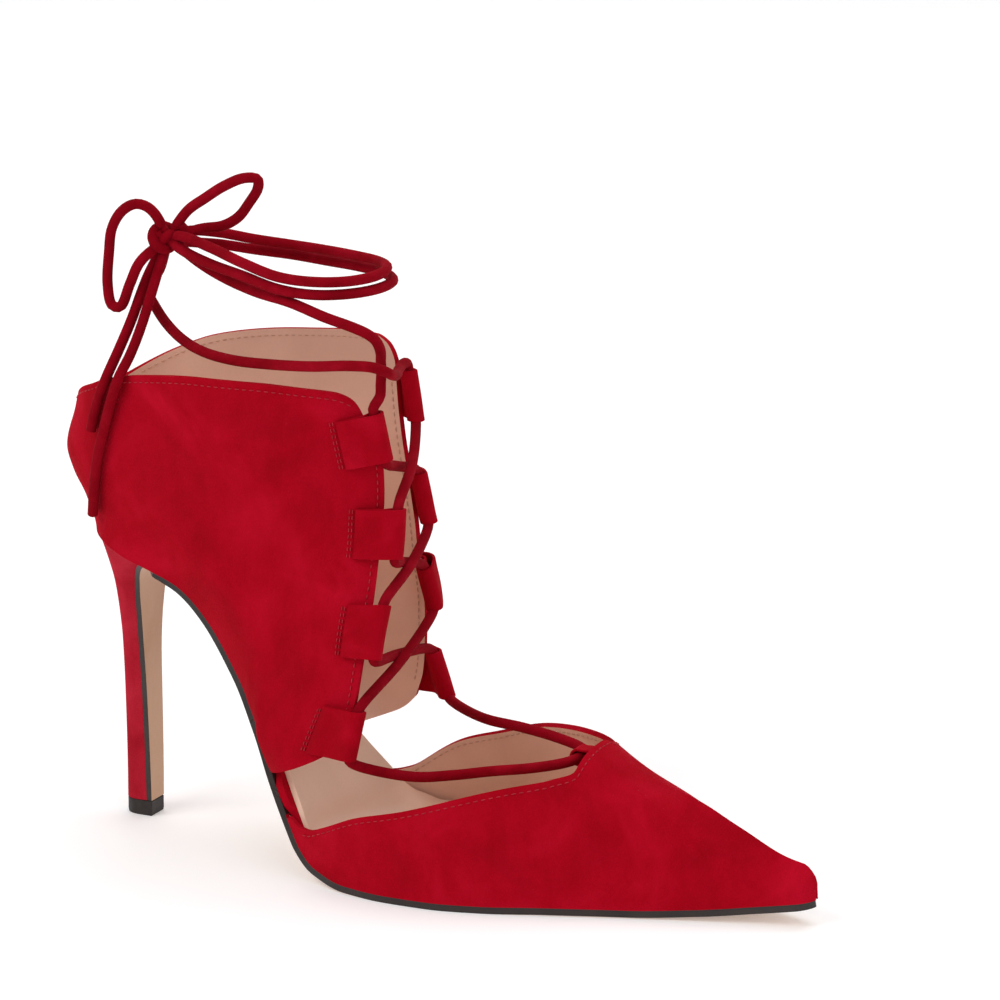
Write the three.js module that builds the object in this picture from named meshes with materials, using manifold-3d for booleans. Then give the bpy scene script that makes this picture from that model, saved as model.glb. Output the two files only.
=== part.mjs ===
// Ghillie-laced stiletto pump, right foot: suede vamp, ankle-high quarter, covered heel, cord lace.
// Millimetres. +X runs from heel to toe, +Y to the inner side of the foot and +Z up.
// The origin is the middle of the heel's top piece, on the ground.
import * as THREE from 'three';
import { mergeVertices } from 'three/addons/utils/BufferGeometryUtils.js';
import Module from 'manifold-3d';

// Driving sizes
const soleLength = 238.8; // back of the seat to the toe tip, along the ground
const seatBack = 10.3; // back of the seat behind the middle of the top piece
const heelHeight = 95; // ground to the seat's back edge
const toeSpring = 6.2; // lift of the toe tip
const ballHalf = 39.6; // outer half of the sole at the ball
const seatRound = 25; // length over which the seat's outline rounds off
const tipRound = 5; // length over which the toe's outline rounds off
const outsoleThickness = 2;
const flapThickness = 1.6; // the outsole where it runs down the heel breast
const boardThickness = 2.6;
const sockThickness = 1.2;
const upperWall = 1.8; // suede and lining together
const clearance = 0.3; // between pieces that touch
const collarHeight = 151.5; // ground to the highest point of the outer topline
const ankleHalf = 30; // half width of the quarter at the ankle
const ankleFront = 103.5; // where the ankle's section would close at the front
const vampCrest = 47; // height of the instep at the throat
const topliftHeight = 4.8;
const topliftDepth = 10;
const topliftHalf = 4;
const laceDiameter = 3.2;
const tabThickness = 1.1;

// Bottom of the last, from the seat's back to the toe tip. along is a share of soleLength, rise of the
// heel height above the tread, spring of toeSpring, outer and inner of ballHalf.
const bottomRows = [
  { along: 0, rise: 1.0, spring: 0, outer: 0.56, inner: 0.555 },
  { along: 0.045, rise: 0.967, spring: 0, outer: 0.575, inner: 0.57 },
  { along: 0.08, rise: 0.94, spring: 0, outer: 0.59, inner: 0.575 },
  { along: 0.115, rise: 0.909, spring: 0, outer: 0.578, inner: 0.545 },
  { along: 0.151, rise: 0.862, spring: 0, outer: 0.535, inner: 0.47 },
  { along: 0.193, rise: 0.747, spring: 0, outer: 0.495, inner: 0.41 },
  { along: 0.235, rise: 0.583, spring: 0, outer: 0.505, inner: 0.405 },
  { along: 0.268, rise: 0.428, spring: 0, outer: 0.565, inner: 0.465 },
  { along: 0.302, rise: 0.272, spring: 0, outer: 0.68, inner: 0.605 },
  { along: 0.335, rise: 0.142, spring: 0, outer: 0.785, inner: 0.745 },
  { along: 0.353, rise: 0.076, spring: 0, outer: 0.83, inner: 0.8 },
  { along: 0.377, rise: 0.032, spring: 0, outer: 0.885, inner: 0.86 },
  { along: 0.427, rise: 0.003, spring: 0, outer: 0.965, inner: 0.925 },
  { along: 0.482, rise: 0, spring: 0, outer: 1.0, inner: 0.93 },
  { along: 0.544, rise: 0, spring: 0, outer: 0.98, inner: 0.89 },
  { along: 0.607, rise: 0, spring: 0, outer: 0.885, inner: 0.8 },
  { along: 0.687, rise: 0, spring: 0.05, outer: 0.7, inner: 0.655 },
  { along: 0.775, rise: 0, spring: 0.05, outer: 0.485, inner: 0.5 },
  { along: 0.862, rise: 0, spring: 0.25, outer: 0.3, inner: 0.345 },
  { along: 0.937, rise: 0, spring: 0.6, outer: 0.155, inner: 0.215 },
  { along: 1, rise: 0, spring: 1, outer: 0.075, inner: 0.125 },
];

// Instep and toe box of the vamp. along is a share of soleLength, crest of vampCrest above the sole,
// ridge the sideways place of the crest as a share of ballHalf, square how full the shoulders are.
const crestRows = [
  { along: 0.288, crest: 2.55, ridge: 0.02, square: 0.75 },
  { along: 0.408, crest: 2.0, ridge: 0.03, square: 0.75 },
  { along: 0.518, crest: 1.5, ridge: 0.04, square: 0.78 },
  { along: 0.608, crest: 1.2, ridge: 0.05, square: 0.8 },
  { along: 0.693, crest: 0.94, ridge: 0.06, square: 0.84 },
  { along: 0.763, crest: 0.755, ridge: 0.06, square: 0.86 },
  { along: 0.83, crest: 0.635, ridge: 0.06, square: 0.88 },
  { along: 0.894, crest: 0.46, ridge: 0.055, square: 0.9 },
  { along: 0.957, crest: 0.275, ridge: 0.05, square: 0.9 },
  { along: 1, crest: 0.2, ridge: 0.045, square: 0.9 },
];

// Edge of the vamp on each side, from its rear corner to the middle of the throat. foot is where a
// line across the vamp leaves the sole, top where it ends at the edge, both as shares of soleLength.
// turn is how far down the side that end lies, from 0 at the crest to 1 at the sole.
const vampOuterRows = [
  { foot: 0.326, top: 0.328, turn: 0.985 },
  { foot: 0.361, top: 0.371, turn: 0.96 },
  { foot: 0.42, top: 0.437, turn: 0.9 },
  { foot: 0.487, top: 0.508, turn: 0.82 },
  { foot: 0.558, top: 0.57, turn: 0.72 },
  { foot: 0.638, top: 0.625, turn: 0.6 },
  { foot: 0.722, top: 0.676, turn: 0.45 },
  { foot: 0.797, top: 0.698, turn: 0.32 },
  { foot: 0.872, top: 0.699, turn: 0.18 },
  { foot: 0.947, top: 0.7, turn: 0.07 },
  { foot: 1, top: 0.7, turn: 0 },
];
const vampInnerRows = [
  { foot: 0.335, top: 0.337, turn: 0.985 },
  { foot: 0.366, top: 0.376, turn: 0.945 },
  { foot: 0.407, top: 0.42, turn: 0.9 },
  { foot: 0.476, top: 0.489, turn: 0.81 },
  { foot: 0.543, top: 0.554, turn: 0.69 },
  { foot: 0.621, top: 0.613, turn: 0.56 },
  { foot: 0.713, top: 0.665, turn: 0.4 },
  { foot: 0.797, top: 0.694, turn: 0.26 },
  { foot: 0.872, top: 0.705, turn: 0.13 },
  { foot: 0.947, top: 0.7, turn: 0.05 },
  { foot: 1, top: 0.7, turn: 0 },
];

// Level sections of the quarter. level is a share of collarHeight, back, wide and front are places
// along X as shares of ankleFront, outer and inner half widths are shares of ankleHalf.
const ankleRows = [
  { level: 0.15, back: 0.21, wide: 0.98, front: 1.66, outer: 1.23, inner: 1.2 },
  { level: 0.3, back: 0.05, wide: 0.89, front: 1.45, outer: 1.1, inner: 1.07 },
  { level: 0.4, back: -0.05, wide: 0.82, front: 1.3, outer: 1.03, inner: 1.0 },
  { level: 0.5, back: -0.081, wide: 0.72, front: 1.18, outer: 0.98, inner: 0.97 },
  { level: 0.57, back: -0.095, wide: 0.6, front: 1.1, outer: 0.95, inner: 0.935 },
  { level: 0.627, back: -0.1, wide: 0.5, front: 1.06, outer: 0.935, inner: 0.93 },
  { level: 0.69, back: -0.137, wide: 0.44, front: 1.03, outer: 0.935, inner: 0.935 },
  { level: 0.74, back: -0.179, wide: 0.415, front: 1.015, outer: 0.95, inner: 0.95 },
  { level: 0.785, back: -0.198, wide: 0.4, front: 1.0, outer: 0.965, inner: 0.965 },
  { level: 0.87, back: -0.163, wide: 0.405, front: 0.98, outer: 1.0, inner: 1.0 },
  { level: 0.94, back: -0.136, wide: 0.415, front: 0.965, outer: 1.015, inner: 1.03 },
  { level: 1.04, back: -0.099, wide: 0.43, front: 0.955, outer: 1.02, inner: 1.05 },
];

// Topline of the quarter. turn is the share of the way from the back seam to the front edge, outer
// and inner heights are shares of collarHeight.
const topRows = [
  { turn: 0, outer: 0.881, inner: 0.881 },
  { turn: 0.1, outer: 0.899, inner: 0.889 },
  { turn: 0.18, outer: 0.922, inner: 0.908 },
  { turn: 0.255, outer: 0.941, inner: 0.93 },
  { turn: 0.32, outer: 0.961, inner: 0.95 },
  { turn: 0.44, outer: 0.983, inner: 0.982 },
  { turn: 0.59, outer: 0.998, inner: 1.003 },
  { turn: 0.73, outer: 1, inner: 1.015 },
  { turn: 0.845, outer: 0.995, inner: 1.024 },
  { turn: 0.92, outer: 0.989, inner: 1.025 },
  { turn: 0.965, outer: 0.975, inner: 1.015 },
  { turn: 0.99, outer: 0.952, inner: 0.997 },
  { turn: 1, outer: 0.93, inner: 0.98 },
];

// Front edges of the quarter. level is a share of collarHeight, outer and inner of ankleFront.
const frontRows = [
  { level: 0.27, outer: 0.83, inner: 0.77 },
  { level: 0.325, outer: 0.868, inner: 0.8 },
  { level: 0.375, outer: 0.888, inner: 0.812 },
  { level: 0.46, outer: 0.9, inner: 0.82 },
  { level: 0.55, outer: 0.906, inner: 0.825 },
  { level: 0.65, outer: 0.905, inner: 0.832 },
  { level: 0.76, outer: 0.91, inner: 0.81 },
  { level: 0.835, outer: 0.906, inner: 0.785 },
  { level: 0.9, outer: 0.866, inner: 0.768 },
  { level: 1.03, outer: 0.855, inner: 0.745 },
];

// Free lower edge of the quarter, ahead of where it leaves the sole. ahead is a share of the run
// from there to the front, outer and inner lifts are shares of collarHeight.
const leaveSole = 60.5; // where the quarter leaves the sole, along X
const lowerRun = 30;
const lowerRows = [
  { ahead: 0, outer: 0.002, inner: 0.002 },
  { ahead: 0.28, outer: 0.025, inner: 0.024 },
  { ahead: 0.48, outer: 0.044, inner: 0.043 },
  { ahead: 0.65, outer: 0.062, inner: 0.075 },
  { ahead: 0.77, outer: 0.078, inner: 0.115 },
  { ahead: 0.9, outer: 0.108, inner: 0.18 },
  { ahead: 1, outer: 0.15, inner: 0.24 },
];

// The outsole where it turns down the heel breast, by its showing face. ahead is a share of the way
// from the top piece's front to breastTop, rise of the height between the top piece and the sole.
const breastTop = 16.5;
const breastRows = [
  { ahead: 0.652, rise: 1.004 },
  { ahead: 0.33, rise: 0.985 },
  { ahead: 0.113, rise: 0.942 },
  { ahead: -0.009, rise: 0.873 },
  { ahead: -0.052, rise: 0.766 },
  { ahead: -0.061, rise: 0.628 },
  { ahead: -0.035, rise: 0.464 },
  { ahead: -0.009, rise: 0.25 },
  { ahead: 0, rise: 0.1 },
  { ahead: 0, rise: 0 },
];

// Sections of the heel from the top piece to the seat. rise is a share of the height at the back,
// back of the way from the top piece's back to the seat's, half of the way from topliftHalf to the
// seat's half width, down where the breast meets it on the way down the breast, round how much of
// the depth the back's curve takes and front the width left at the breast.
const heelRows = [
  { rise: 0, back: 0, half: 0, down: 1, round: 0.62, front: 0.94 },
  { rise: 0.11, back: -0.04, half: 0.02, down: 0.9, round: 0.62, front: 0.92 },
  { rise: 0.28, back: -0.06, half: 0.05, down: 0.72, round: 0.62, front: 0.9 },
  { rise: 0.44, back: -0.06, half: 0.085, down: 0.55, round: 0.62, front: 0.88 },
  { rise: 0.58, back: -0.05, half: 0.14, down: 0.42, round: 0.62, front: 0.87 },
  { rise: 0.7, back: 0.06, half: 0.22, down: 0.31, round: 0.64, front: 0.87 },
  { rise: 0.8, back: 0.24, half: 0.33, down: 0.225, round: 0.68, front: 0.87 },
  { rise: 0.875, back: 0.48, half: 0.49, down: 0.165, round: 0.72, front: 0.88 },
  { rise: 0.93, back: 0.7, half: 0.68, down: 0.115, round: 0.78, front: 0.9 },
  { rise: 0.968, back: 0.87, half: 0.85, down: 0.07, round: 0.86, front: 0.94 },
  { rise: 1, back: 1, half: 0.985, down: 0.035, round: 0.92, front: 0.99 },
];

// Folded loops on each front edge. level is the middle's share of collarHeight. As shares of tabHeight,
// root and reach are how far the loop goes behind and beyond the edge and lean how much its top leans
// to the front. turnIn is how many degrees the loop turns in beyond the edge, over bendRun.
const tabHeight = 15;
const bendRun = 3;
const tabShares = [
  { name: 'loop_outer_1', side: -1, level: 0.895, root: 0.5, reach: 0.42, lean: 0.133, turnIn: 3 },
  { name: 'loop_outer_2', side: -1, level: 0.706, root: 0.5, reach: 0.467, lean: -0.067, turnIn: 3 },
  { name: 'loop_outer_3', side: -1, level: 0.52, root: 0.433, reach: 0.4, lean: -0.1, turnIn: 3 },
  { name: 'loop_outer_4', side: -1, level: 0.32, root: 0.633, reach: 0.4, lean: 0, turnIn: 3 },
  { name: 'loop_inner_1', side: 1, level: 0.917, root: 0.6, reach: 0.46, lean: -0.133, turnIn: 17 },
  { name: 'loop_inner_2', side: 1, level: 0.718, root: 0.6, reach: 0.527, lean: -0.1, turnIn: 38 },
  { name: 'loop_inner_3', side: 1, level: 0.53, root: 0.6, reach: 0.64, lean: 0, turnIn: 66 },
  { name: 'loop_inner_4', side: 1, level: 0.325, root: 0.667, reach: 0.547, lean: -0.133, turnIn: 35 },
];

const tabRows = tabShares.map((row) => ({
  ...row,
  root: row.root * tabHeight,
  reach: row.reach * tabHeight,
  lean: row.lean * tabHeight,
}));

// Routes of the lace, each from the loop or the knot outwards.
const knotPlace = [14.6, -4, 185.7];
const tieOuterRoute = [
  [93, -15.6, 148.8], [92.5, -14.3, 152.1], [92.3, -13.5, 155], [92.7, -14.5, 158.8], [94.2, -17.5, 163],
  [94.3, -20.8, 167], [92.6, -22.8, 169.2], [88.3, -24, 171], [79.9, -24.5, 173], [66.7, -22, 175.5],
  [53, -18, 176.3], [38, -12, 178], [27, -7.5, 180.5], [19.5, -5, 183.5], [14.6, -4, 185.7],
];
const tieInnerRoute = [
  [81.9, 20.5, 149.2], [83.7, 14, 149.2], [89.1, 2, 150.7], [95.7, -12, 154.5], [98.2, -19, 156.8],
  [98.4, -22.2, 158.3], [95.6, -25.3, 160], [89.2, -27, 160.1], [76.1, -27.5, 158.5], [61.8, -26, 157.1],
  [48.2, -23, 156], [35, -18, 155.8], [24, -12, 157], [14.7, -6, 159.8], [8.5, -2, 163.5], [5.5, 0, 166.2],
  [6.7, -0.5, 170.8], [10.2, -1.5, 175.4], [14.6, -4, 185.7],
];
const wrapUpperRoute = [
  [14.6, -4, 185.7], [20.6, -7, 187.6], [34.7, -14, 187.2], [49.9, -20.5, 185.3], [63.2, -23, 183.1],
  [74, -22, 182.6], [82.7, -16.5, 182.5], [87.4, -8, 182.8], [86.6, 1, 183.2], [79, 9.5, 182.7],
  [69.5, 14, 182.3], [56.3, 18, 181.9], [43.4, 19.5, 181.9], [32.2, 17.5, 182.8], [23.1, 12, 185],
  [16.5, 5, 186.3], [14.6, -4, 185.7],
];
const wrapLowerRoute = [
  [14.6, -4, 185.7], [22.4, -9, 183.9], [35.2, -15, 182.4], [49.9, -20.5, 181.4], [63.1, -23, 179.4],
  [74, -22, 178.7], [82.7, -16.5, 178.7], [88.1, -8, 179], [88, 2, 179.2], [80, 11.5, 178.8],
  [67.8, 17.5, 178.2], [54.7, 21.5, 177.7], [41.7, 23, 177.9], [30.4, 21, 178.6], [21.6, 15, 180.6],
  [14.4, 6.5, 182.4], [14.6, -4, 185.7],
];
const bowDownRoute = [
  [14.6, -4, 185.7], [13.2, -9, 194], [11.3, -11, 196.6], [8.4, -12.5, 197.3], [4.4, -13.5, 194.9],
  [1.1, -14, 189.4], [-0.1, -14, 181.9], [-1, -13.7, 171.8], [0.3, -13.6, 165.5], [3.2, -13.6, 165.3],
  [6.6, -13.2, 172.8], [9.6, -12, 179.6], [14.6, -4, 185.7],
];
const bowUpRoute = [
  [14.6, -4, 185.7], [21.4, -4, 194.7], [28.3, -5, 199.6], [35.2, -5.5, 204.1], [41.8, -5, 207.1],
  [45.4, -3.5, 206.9], [44.8, -2, 203.8], [41.1, -1, 198.6], [36.7, 0, 193.6], [31.2, 0.3, 190.4],
  [24.5, -0.5, 189], [14.6, -4, 185.7],
];
const endLongRoute = [
  [14.6, -4, 185.7], [13.4, -9, 175], [12.2, -16.5, 161], [12, -23, 153.5], [11.2, -28.6, 147.6],
  [8.6, -28.2, 141.4], [4.9, -27.2, 130.9], [2, -26.4, 121.9], [-0.7, -24.3, 112], [-3.5, -21.1, 101.3],
];
const endShortRoute = [
  [14.6, -4, 185.7], [9.6, -7.5, 174.5], [7.4, -14.5, 161.5], [6.6, -21, 153.5], [6, -26.9, 146.9],
  [3, -26.2, 140.7], [0.8, -25.6, 135], [-0.9, -25.3, 129.1],
];

const { clamp, lerp, degToRad } = THREE.MathUtils;

// A smooth line through a table's column, which never overshoots its rows.
function column(rows, at, name, atScale = 1, scale = 1, atStart = 0) {
  const xs = rows.map((row) => atStart + row[at] * atScale);
  const ys = rows.map((row) => row[name] * scale);
  const last = xs.length - 1;
  const slopes = xs.slice(1).map((x, i) => (ys[i + 1] - ys[i]) / (x - xs[i]));
  const tangents = xs.map((x, i) => {
    if (i === 0) return slopes[0];
    if (i === last) return slopes[last - 1];
    const before = slopes[i - 1];
    const after = slopes[i];
    return before * after <= 0 ? 0 : (2 * before * after) / (before + after);
  });
  return (x) => {
    if (x <= xs[0]) return ys[0];
    if (x >= xs[last]) return ys[last];
    let i = 0;
    while (x > xs[i + 1]) i += 1;
    const span = xs[i + 1] - xs[i];
    const t = (x - xs[i]) / span;
    const bend = tangents[i] * (1 - t) ** 2 * t - tangents[i + 1] * (1 - t) * t ** 2;
    return ys[i] * (1 - t) ** 2 * (1 + 2 * t) + ys[i + 1] * t ** 2 * (3 - 2 * t) + span * bend;
  };
}

// The last's bottom
const treadTop = outsoleThickness + clearance; // where the upper and the board begin at the tread
const toeTip = soleLength - seatBack;
const alongSole = (rows, name, scale) => column(rows, 'along', name, soleLength, scale, -seatBack);
const heelRise = alongSole(bottomRows, 'rise', heelHeight - treadTop);
const toeLift = alongSole(bottomRows, 'spring', toeSpring);
const outerEdge = alongSole(bottomRows, 'outer', ballHalf);
const innerEdge = alongSole(bottomRows, 'inner', ballHalf);
const bottomHeight = (x) => treadTop + heelRise(x) + toeLift(x);

// Middle and half width of the bottom's outline, drawn in by an inset all round.
function outline(x, inset = 0) {
  const step = 0.5;
  const nominal = (at) => (outerEdge(at) + innerEdge(at)) / 2;
  const slope = (nominal(x + step) - nominal(x - step)) / (2 * step);
  const tip = toeTip - inset * 1.6;
  const back = -seatBack + inset;
  const toTip = clamp((tip - x) / tipRound, 0, 1);
  const toBack = clamp((x - back) / seatRound, 0, 1);
  const round = Math.sqrt(1 - (1 - toTip) ** 2) * (1 - (1 - toBack) ** 2.4) ** (1 / 2.4);
  const half = Math.max(nominal(x) - inset * Math.hypot(1, slope), 0.6) * round;
  return { middle: (innerEdge(x) - outerEdge(x)) / 2, half };
}

// Slope of the bottom line as a unit tangent and the normal that points up from it.
function bottomFrame(x) {
  const step = 0.25;
  const fall = (bottomHeight(x + step) - bottomHeight(x - step)) / (2 * step);
  const size = Math.hypot(1, fall);
  return { tangent: [1 / size, fall / size], normal: [-fall / size, 1 / size] };
}

// The vamp's surface: turn runs from -1 at the outer edge over 0 at the crest to 1 at the inner edge.
const crestHeight = alongSole(crestRows, 'crest', vampCrest);
const crestPlace = alongSole(crestRows, 'ridge', ballHalf);
const shoulder = alongSole(crestRows, 'square', 1);
function vampSurface(x, turn, inset = 0) {
  const { middle, half } = outline(x, inset);
  const ridge = clamp(crestPlace(x), middle - half * 0.6, middle + half * 0.6);
  const edge = turn < 0 ? middle - half : middle + half;
  const angle = (Math.abs(turn) * Math.PI) / 2;
  const power = shoulder(x);
  const toTip = clamp((toeTip - inset * 1.6 - x) / tipRound, 0, 1);
  const rise = (crestHeight(x) - inset) * (1 - (1 - toTip) ** 2 * 0.45);
  const y = ridge + (edge - ridge) * Math.sin(angle) ** power;
  return new THREE.Vector3(x, y, bottomHeight(x) + rise * Math.cos(angle) ** power);
}

// The quarter's surface: a level oval, with angle 0 at the back and PI where it would close in front.
const ankleColumn = (name, scale) => column(ankleRows, 'level', name, collarHeight, scale);
const ankle = {
  back: ankleColumn('back', ankleFront),
  wide: ankleColumn('wide', ankleFront),
  front: ankleColumn('front', ankleFront),
  outer: ankleColumn('outer', ankleHalf),
  inner: ankleColumn('inner', ankleHalf),
};
function ankleSurface(side, angle, z) {
  const wide = ankle.wide(z);
  const reach = angle < Math.PI / 2 ? wide - ankle.back(z) : ankle.front(z) - wide;
  const power = angle < Math.PI / 2 ? 0.74 : 1;
  const half = side < 0 ? ankle.outer(z) : ankle.inner(z);
  const y = side * half * Math.max(Math.sin(angle), 0) ** power;
  return new THREE.Vector3(wide - reach * Math.cos(angle), y, z);
}
function ankleAngle(x, z) {
  const wide = ankle.wide(z);
  const reach = x < wide ? wide - ankle.back(z) : ankle.front(z) - wide;
  return Math.acos(clamp((wide - x) / reach, -1, 1));
}

// Where the upper edges of the quarter and its free lower edge run.
const frontEdge = {
  '-1': column(frontRows, 'level', 'outer', collarHeight, ankleFront),
  1: column(frontRows, 'level', 'inner', collarHeight, ankleFront),
};
const topEdge = {
  '-1': column(topRows, 'turn', 'outer', 1, collarHeight),
  1: column(topRows, 'turn', 'inner', 1, collarHeight),
};
const lowerEdge = {
  '-1': column(lowerRows, 'ahead', 'outer', lowerRun, collarHeight, leaveSole),
  1: column(lowerRows, 'ahead', 'inner', lowerRun, collarHeight, leaveSole),
};
function quarterBottom(side, x) {
  if (x <= leaveSole) return bottomHeight(x);
  return bottomHeight(leaveSole) + lowerEdge[side](x);
}

// One line of the quarter from its lower edge up to the topline, at a share of the way round.
function quarterLine(side, turn) {
  const onLine = (z) => ankleSurface(side, turn * ankleAngle(frontEdge[side](z), z), z);
  let low = 0.15 * collarHeight;
  let high = topEdge[side](turn) - 1;
  for (let step = 0; step < 40; step += 1) {
    const middle = (low + high) / 2;
    if (middle > quarterBottom(side, onLine(middle).x)) high = middle;
    else low = middle;
  }
  const start = onLine(low);
  const { middle, half } = outline(start.x);
  const tuck = middle + side * half - start.y;
  const ahead = clamp((start.x - leaveSole) / (0.6 * lowerRun), 0, 1);
  const hold = (1 - ahead) ** 2 * (turn < 0.02 ? 0 : 1);
  return { onLine, low, tuck: tuck * hold, top: topEdge[side](turn) };
}
const tuckHeight = 26; // height over which the sides swell out from the sole's edge
function quarterPoint(line, share) {
  const z = lerp(line.low, line.top, share);
  const point = line.onLine(z);
  const fade = clamp(1 - (z - line.low) / tuckHeight, 0, 1);
  point.y += line.tuck * fade * fade;
  return point;
}

// Solids
const wasm = await Module();
wasm.setup();

function closedGeometry(points, triangles) {
  const geometry = new THREE.BufferGeometry();
  geometry.setAttribute('position', new THREE.Float32BufferAttribute(points.flatMap((p) => p.toArray()), 3));
  let volume = 0;
  for (const [a, b, c] of triangles) {
    volume += points[a].dot(new THREE.Vector3().crossVectors(points[b], points[c]));
  }
  geometry.setIndex(triangles.flatMap(([a, b, c]) => (volume < 0 ? [a, c, b] : [a, b, c])));
  return mergeVertices(geometry, 1e-4);
}

// Triangles between two equal rows of vertices.
function strip(first, second, closed) {
  const triangles = [];
  const count = closed ? first.length : first.length - 1;
  for (let i = 0; i < count; i += 1) {
    const next = (i + 1) % first.length;
    triangles.push([first[i], first[next], second[i]], [first[next], second[next], second[i]]);
  }
  return triangles;
}

// A solid through closed sections of equal length, each of them convex.
function loft(sections) {
  const size = sections[0].length;
  const points = sections.flat();
  const rows = sections.map((section, i) => section.map((_, j) => i * size + j));
  const triangles = rows.slice(1).flatMap((row, i) => strip(rows[i], row, true));
  const first = rows[0];
  const last = rows[rows.length - 1];
  for (let j = 1; j < size - 1; j += 1) {
    triangles.push([first[0], first[j + 1], first[j]], [last[0], last[j], last[j + 1]]);
  }
  return closedGeometry(points, triangles);
}

// A wall between two grids of points of the same size, closed round its edges.
function wall(outside, inside) {
  const rows = outside.length;
  const size = outside[0].length;
  const points = [...outside.flat(), ...inside.flat()];
  const index = (i, j, layer) => layer * rows * size + i * size + j;
  const line = (i, layer) => outside[0].map((_, j) => index(i, j, layer));
  const triangles = [];
  for (let i = 0; i < rows - 1; i += 1) {
    triangles.push(...strip(line(i, 0), line(i + 1, 0), false));
    triangles.push(...strip(line(i + 1, 1), line(i, 1), false));
  }
  triangles.push(...strip(line(0, 1), line(0, 0), false));
  triangles.push(...strip(line(rows - 1, 0), line(rows - 1, 1), false));
  const edge = (j, layer) => outside.map((_, i) => index(i, j, layer));
  triangles.push(...strip(edge(0, 0), edge(0, 1), false));
  triangles.push(...strip(edge(size - 1, 1), edge(size - 1, 0), false));
  return closedGeometry(points, triangles);
}

// A flat band along the bottom line, between two distances from it along its normal.
function footbed(xs, low, high, insetAt) {
  return loft(xs.map((x) => {
    const { normal } = bottomFrame(x);
    const { middle, half } = outline(x, insetAt(x));
    const at = (side, lift) => new THREE.Vector3(
      x + normal[0] * lift,
      middle + side * half,
      bottomHeight(x) + normal[1] * lift,
    );
    return [at(-1, low), at(1, low), at(1, high), at(-1, high)];
  }));
}

// Places along X which the outsole, the board and the sock share, so that their faces stay parallel.
// They lie closer together at both ends, where the arch meets the tread and where the board shows.
const stationRows = [
  { from: -seatBack, to: breastTop + 6, count: 9 },
  { from: breastTop + 6, to: leaveSole + 1, count: 8 },
  { from: leaveSole + 1, to: leaveSole + 6, count: 4 },
  { from: leaveSole + 6, to: 94, count: 9 },
  { from: 94, to: toeTip - 20, count: 12 },
  { from: toeTip - 20, to: toeTip, count: 9 },
];
const stations = stationRows.flatMap(({ from, to, count }) => (
  Array.from({ length: count }, (_, i) => lerp(from, to, i / count))
));
const between = (from, to) => [from, ...stations.filter((x) => x > from + 0.4 && x < to - 0.4), to];

// A round cord through points, with the fewest sides that keep its shape.
function cord(points, steps, diameter = laceDiameter) {
  const path = new THREE.CatmullRomCurve3(points.map((p) => new THREE.Vector3(...p)), false, 'centripetal');
  const section = new THREE.Shape();
  section.absarc(0, 0, diameter / 2, 0, 2 * Math.PI);
  const geometry = new THREE.ExtrudeGeometry(section, { steps, extrudePath: path, curveSegments: 4 });
  geometry.deleteAttribute('normal');
  geometry.deleteAttribute('uv');
  return mergeVertices(geometry, 1e-4);
}
function solidOf(geometry) {
  const mesh = new wasm.Mesh({
    numProp: 3,
    vertProperties: Float32Array.from(geometry.attributes.position.array),
    triVerts: Uint32Array.from(geometry.index.array),
  });
  return new wasm.Manifold(mesh);
}
function geometryOf(solid) {
  const { vertProperties, triVerts } = solid.getMesh();
  const geometry = new THREE.BufferGeometry();
  geometry.setAttribute('position', new THREE.BufferAttribute(Float32Array.from(vertProperties), 3));
  geometry.setIndex(Array.from(triVerts));
  return geometry;
}

// The outsole's showing face, from the toe along the tread and the arch and down the breast.
const topliftTop = topliftHeight + clearance;
const topliftFront = topliftDepth / 2;
const seatHalf = outline(breastTop).half;
function breastFace() {
  const under = clearance + flapThickness;
  const top = bottomHeight(breastTop) - under;
  const points = breastRows.map(({ ahead, rise }) => new THREE.Vector3(
    lerp(topliftFront, breastTop, ahead),
    0,
    lerp(topliftTop, top, rise),
  ));
  const lead = [breastTop + 5, breastTop].map((x) => {
    const { normal } = bottomFrame(x);
    return new THREE.Vector3(x - normal[0] * under, 0, bottomHeight(x) - normal[1] * under);
  });
  return new THREE.CatmullRomCurve3([...lead, ...points], false, 'centripetal');
}
const breast = breastFace();
function breastPoint(down, depth) {
  const point = breast.getPointAt(down);
  const tangent = breast.getTangentAt(down);
  return new THREE.Vector3(point.x + tangent.z * depth, 0, point.z - tangent.x * depth);
}

function outsoleGeometry() {
  const sole = between(breastTop + 6, toeTip - 0.7).reverse().map((x) => {
    const { normal } = bottomFrame(x);
    const { middle, half } = outline(x, 0.5);
    const face = clearance + lerp(flapThickness, outsoleThickness, clamp((x - breastTop) / 30, 0, 1));
    const at = (side, depth) => new THREE.Vector3(
      x - normal[0] * depth,
      middle + side * half,
      bottomHeight(x) - normal[1] * depth,
    );
    return [at(-1, face), at(1, face), at(1, clearance), at(-1, clearance)];
  });
  const widths = [...heelRows].reverse();
  const flap = Array.from({ length: 22 }, (_, i) => (i + 1) / 22).map((down) => {
    const half = breastHalf(widths, down);
    const at = (side, depth) => breastPoint(down, depth).setY(side * half);
    return [at(-1, 0), at(1, 0), at(1, flapThickness), at(-1, flapThickness)];
  });
  return loft([...sole, ...flap]);
}
// Half width of the breast at a share of the way down it.
function breastHalf(widths, down) {
  const width = (row) => lerp(topliftHalf, seatHalf, row.half) * row.front;
  const rows = widths.map((row) => ({ down: row.down, half: width(row) }));
  const top = { down: -0.02, half: outline(breastTop + 6).half };
  return column([top, ...rows], 'down', 'half')(down);
}

const heelSteps = 16;
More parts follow.
